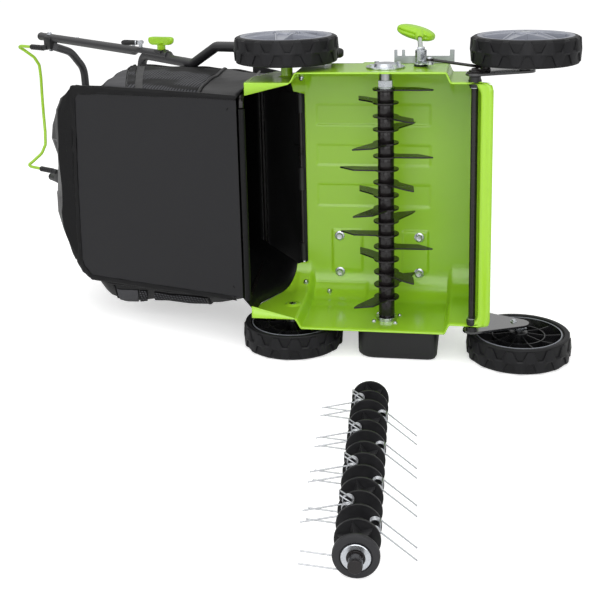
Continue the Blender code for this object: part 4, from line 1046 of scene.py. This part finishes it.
bm = bmesh.new()
ear = [(-930, 797, 153.5), (-976, 823, 153.5), (-984, 828.5, 150), (-974, 834, 142),
       (-953, 843, 123), (-945.5, 853, 102), (-947.5, 862, 70), (-952.5, 872, 25)]
sweep(bm, finely(mirrored(rounded(ear, 20, 6)), 4), 3.8, 14)
wire_coat = finish("lime_dipped_coat", "#9CCB1F", "#93C21C", 0.32, cloud=25, grain=1.4,
                   Coat_Weight=0.3, slot="green_plastic")
piece("bail_wire", bm, wire_coat, "bail", 60, instead="bail_bar")
bm = bmesh.new()
for side in (-1, 1):
    start, end = Vector((-900, 780, side * 153.5)), Vector((-940.5, 803, side * 153.5))
    path = [start.lerp(end, k / 26) for k in range(27)]
    sweep(bm, path, [5.8 + (1 if k % 4 < 2 else 0) for k in range(27)], 18)
piece("bail_sleeves", bm, black_plastic, "bail", 30)


# Switch cable
# A round black PVC cable, 7 mm across, from the switch box down the left tubes to the motor hood.
# It is tied to the tubes, and a loop passes the fold joint.

cable_pvc = finish("black_pvc", "#171718", "#1D1D1F", 0.48, cloud=30, grain=1.0, slot="rubber")
off = Vector((0.700, 0.714, 0)) * (TUBE + 4.2)
bx, by = BOW_BAR
upper = [(bx + 20, by - 30, -36.5), (bx + 18, by - 33, -60), (bx + 12, by - 45, -105),
         (bx + 10, by - 85, -150), along_handle(520, -178) + off, along_handle(44, -182) + off]
bm = bmesh.new()
sweep(bm, finely(rounded(upper, 30, 8), 8), 3.5, 14)
piece("cable_on_upper_tube", bm, cable_pvc, "upper_handle", 60, instead="cable_upper")
lower = [along_handle(-44, -176) + off, on_side(HANDLE_BEND, -1) + off,
         on_side(HANDLE_ELBOW, -1) + off, (-215, 162, -225.1), (-185, 182, -215), (-150, 192, -190),
         (-112.5, 192, -185), (-108.4, 192, -185)]
bm = bmesh.new()
sweep(bm, finely(rounded(lower, 20, 8), 8), 3.5, 14)
piece("cable_on_lower_tube", bm, cable_pvc, "chassis", 60, instead="cable_lower")
start, end = along_handle(-44, -176) + off, along_handle(44, -182) + off
loop = [start - HANDLE_LINE * 8, start + HANDLE_LINE * 12]
loop += [start.lerp(end, share) + off.normalized() * rise + Vector((0, 0, -0.4 * rise))
         for share, rise in ((0.3, 11), (0.5, 17), (0.7, 11))]
loop += [end - HANDLE_LINE * 12, end + HANDLE_LINE * 8]
bm = bmesh.new()
sweep(bm, finely(rounded(loop, 30, 8), 3), 3.4, 14)
fold_cable = piece("cable_at_the_fold", bm, cable_pvc, None, 60)
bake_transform(fold_cable)
for body, distances in (("upper_handle", (100, 300, 480)), ("chassis", (-100,))):
    bm = bmesh.new()
    for distance in distances:
        middle = along_handle(distance, -180) + off * 0.35
        loop = []
        for k in range(28):
            a = math.tau * k / 28
            across = off.normalized() * (15.8 + 0.6 * math.cos(2 * a)) * math.cos(a)
            loop.append(middle + across + Vector((0, 0, 11.2 * math.sin(a))))
        sweep(bm, loop, 1.3, 6, loop=True)
    piece("cable_ties_" + body, bm, black_plastic, body)


# Spare tine reel
# A steel shaft carries fourteen black nylon discs on a hollow core, with star-shaped drivers
# between them, and sprung steel double tines in three rows. A bright ring and a slotted coupling
# close its near end.

REEL_NEAR, REEL_FAR, REEL_DISC = (22.1, -650), (-2.4, -250), 26.9
REEL_RUN = Vector(REEL_FAR) - Vector(REEL_NEAR)
REEL = (Matrix.Translation((*REEL_NEAR, REEL_DISC))
        @ turn_by(math.degrees(math.atan2(-REEL_RUN.x, REEL_RUN.y))) @ turn_by(-90, "X"))
REEL_LENGTH = REEL_RUN.length
REEL_STEP = (REEL_LENGTH - 3) / 13
# The lighter edge colour #39393B below is a painted highlight on the discs' rims.
nylon = finish("black_glass_filled_nylon", "#0B0B0C", "#111112", 0.34, cloud=20, grain=0.9,
               spread=0.06, edge_highlight="#39393B", Specular_IOR_Level=0.25, slot="black_plastic")
bm = bmesh.new()
for k in range(14):
    z, r = k * REEL_STEP, REEL_DISC
    turned(bm, [(10, z), (r - 0.6, z), (r, z + 0.6), (r, z + 2.4), (r - 0.6, z + 3), (10, z + 3)],
           64)
    if k < 13:
        turned(bm, [(8.8, z + 2.5), (10.6, z + 2.5), (10.6, z + REEL_STEP + 0.5),
                    (8.8, z + REEL_STEP + 0.5)], 40)
for gap in (0, 3, 6, 9, 12):
    face = REEL_LENGTH - REEL_STEP * gap - 3
    star = [polar(12.5 if j % 2 else 24.5, 30 * j + math.degrees(0.3)) for j in range(12)]
    skin(bm, [[(x * s, y * s, z) for x, y in star]
              for z, s in ((face + 0.5, 1.0), (face - 3.5, 0.96), (face - 9, 0.62))])
piece("reel_discs", bm, nylon, "spare_reel", 40, REEL, instead="reel_roller")
bm = bmesh.new()
turned(bm, [(9.5, -0.3), (26.8, -0.3), (26.2, -2.2), (24.5, -3), (18.4, -3), (17.8, -0.8),
            (9.5, -0.8)], 64)
grey_nylon = finish("grey_nylon", "#28282A", "#2E2E30", 0.45, cloud=20, slot="black_plastic",
                    Specular_IOR_Level=0.2)
piece("reel_end_disc", bm, grey_nylon, "spare_reel", 40, REEL)
bm = bmesh.new()
turned(bm, [(10.4, -0.8), (16.7, -0.8), (16.7, -4.2), (16, -4.8), (10.8, -4.6), (10.4, -4)], 64)
piece("reel_end_ring", bm, zinc, "spare_reel", 40, REEL)
dress(black_steel, "reel_shaft", edge=0.6)

COIL_RADIUS, WIRE = 6.2, 1
spring_steel = finish("zinc_spring_wire", "#B9BBBE", "#9A9CA0", 0.28, 1.0, cloud=8, grain=0.8,
                      relief=0.01, slot="zinc")


def make_tines(name, centre, tip, hook, gap, node=None):
    """A double torsion spring: two coils side by side on a seat, a hook between them, two tines."""
    start = REEL_LENGTH - REEL_STEP * (gap + 1)
    clear, width = 0.3 + WIRE, REEL_STEP - 3
    centre = Vector(centre)
    reach = Vector(tip) - centre
    leave = math.atan2(reach.y, reach.x) - math.acos(COIL_RADIUS / reach.length)
    arm = Vector(hook)
    arrive = math.atan2(arm.y, arm.x) + math.acos(COIL_RADIUS / arm.length)
    turns = -((leave - arrive) % math.tau) - 2 * math.tau
    path = [Vector((*tip, start + clear))]
    path += [Vector((*polar(COIL_RADIUS, math.degrees(leave + turns * k / 48), centre),
                     start + clear + 7.5 * k / 48)) for k in range(49)]
    path.append(Vector((*(centre + arm), path[-1].z)))
    path = path + [Vector((p.x, p.y, 2 * start + width - p.z)) for p in reversed(path)]
    bm = bmesh.new()
    sweep(bm, path, WIRE, 10)
    piece(name, bm, spring_steel, "spare_reel", 60, REEL, instead=node)


for k in range(4):
    make_tines("tines_left_%d" % (k + 1), (-13.5, -17.2), (-68.4, 1), (-9.5, -14.5), 3 * k + 1,
               "reel_spring_left_%d" % (k + 1))
    make_tines("tines_right_%d" % (k + 1), (18.9, -6.5), (67.2, 25.5), (6.5, -8), 3 * k + 2,
               "reel_spring_right_%d" % (k + 1))
for k in range(5):
    make_tines("tines_low_%d" % (k + 1), (-10.1, 15), (-65.5, 15), (-8.5, 6), 3 * k)
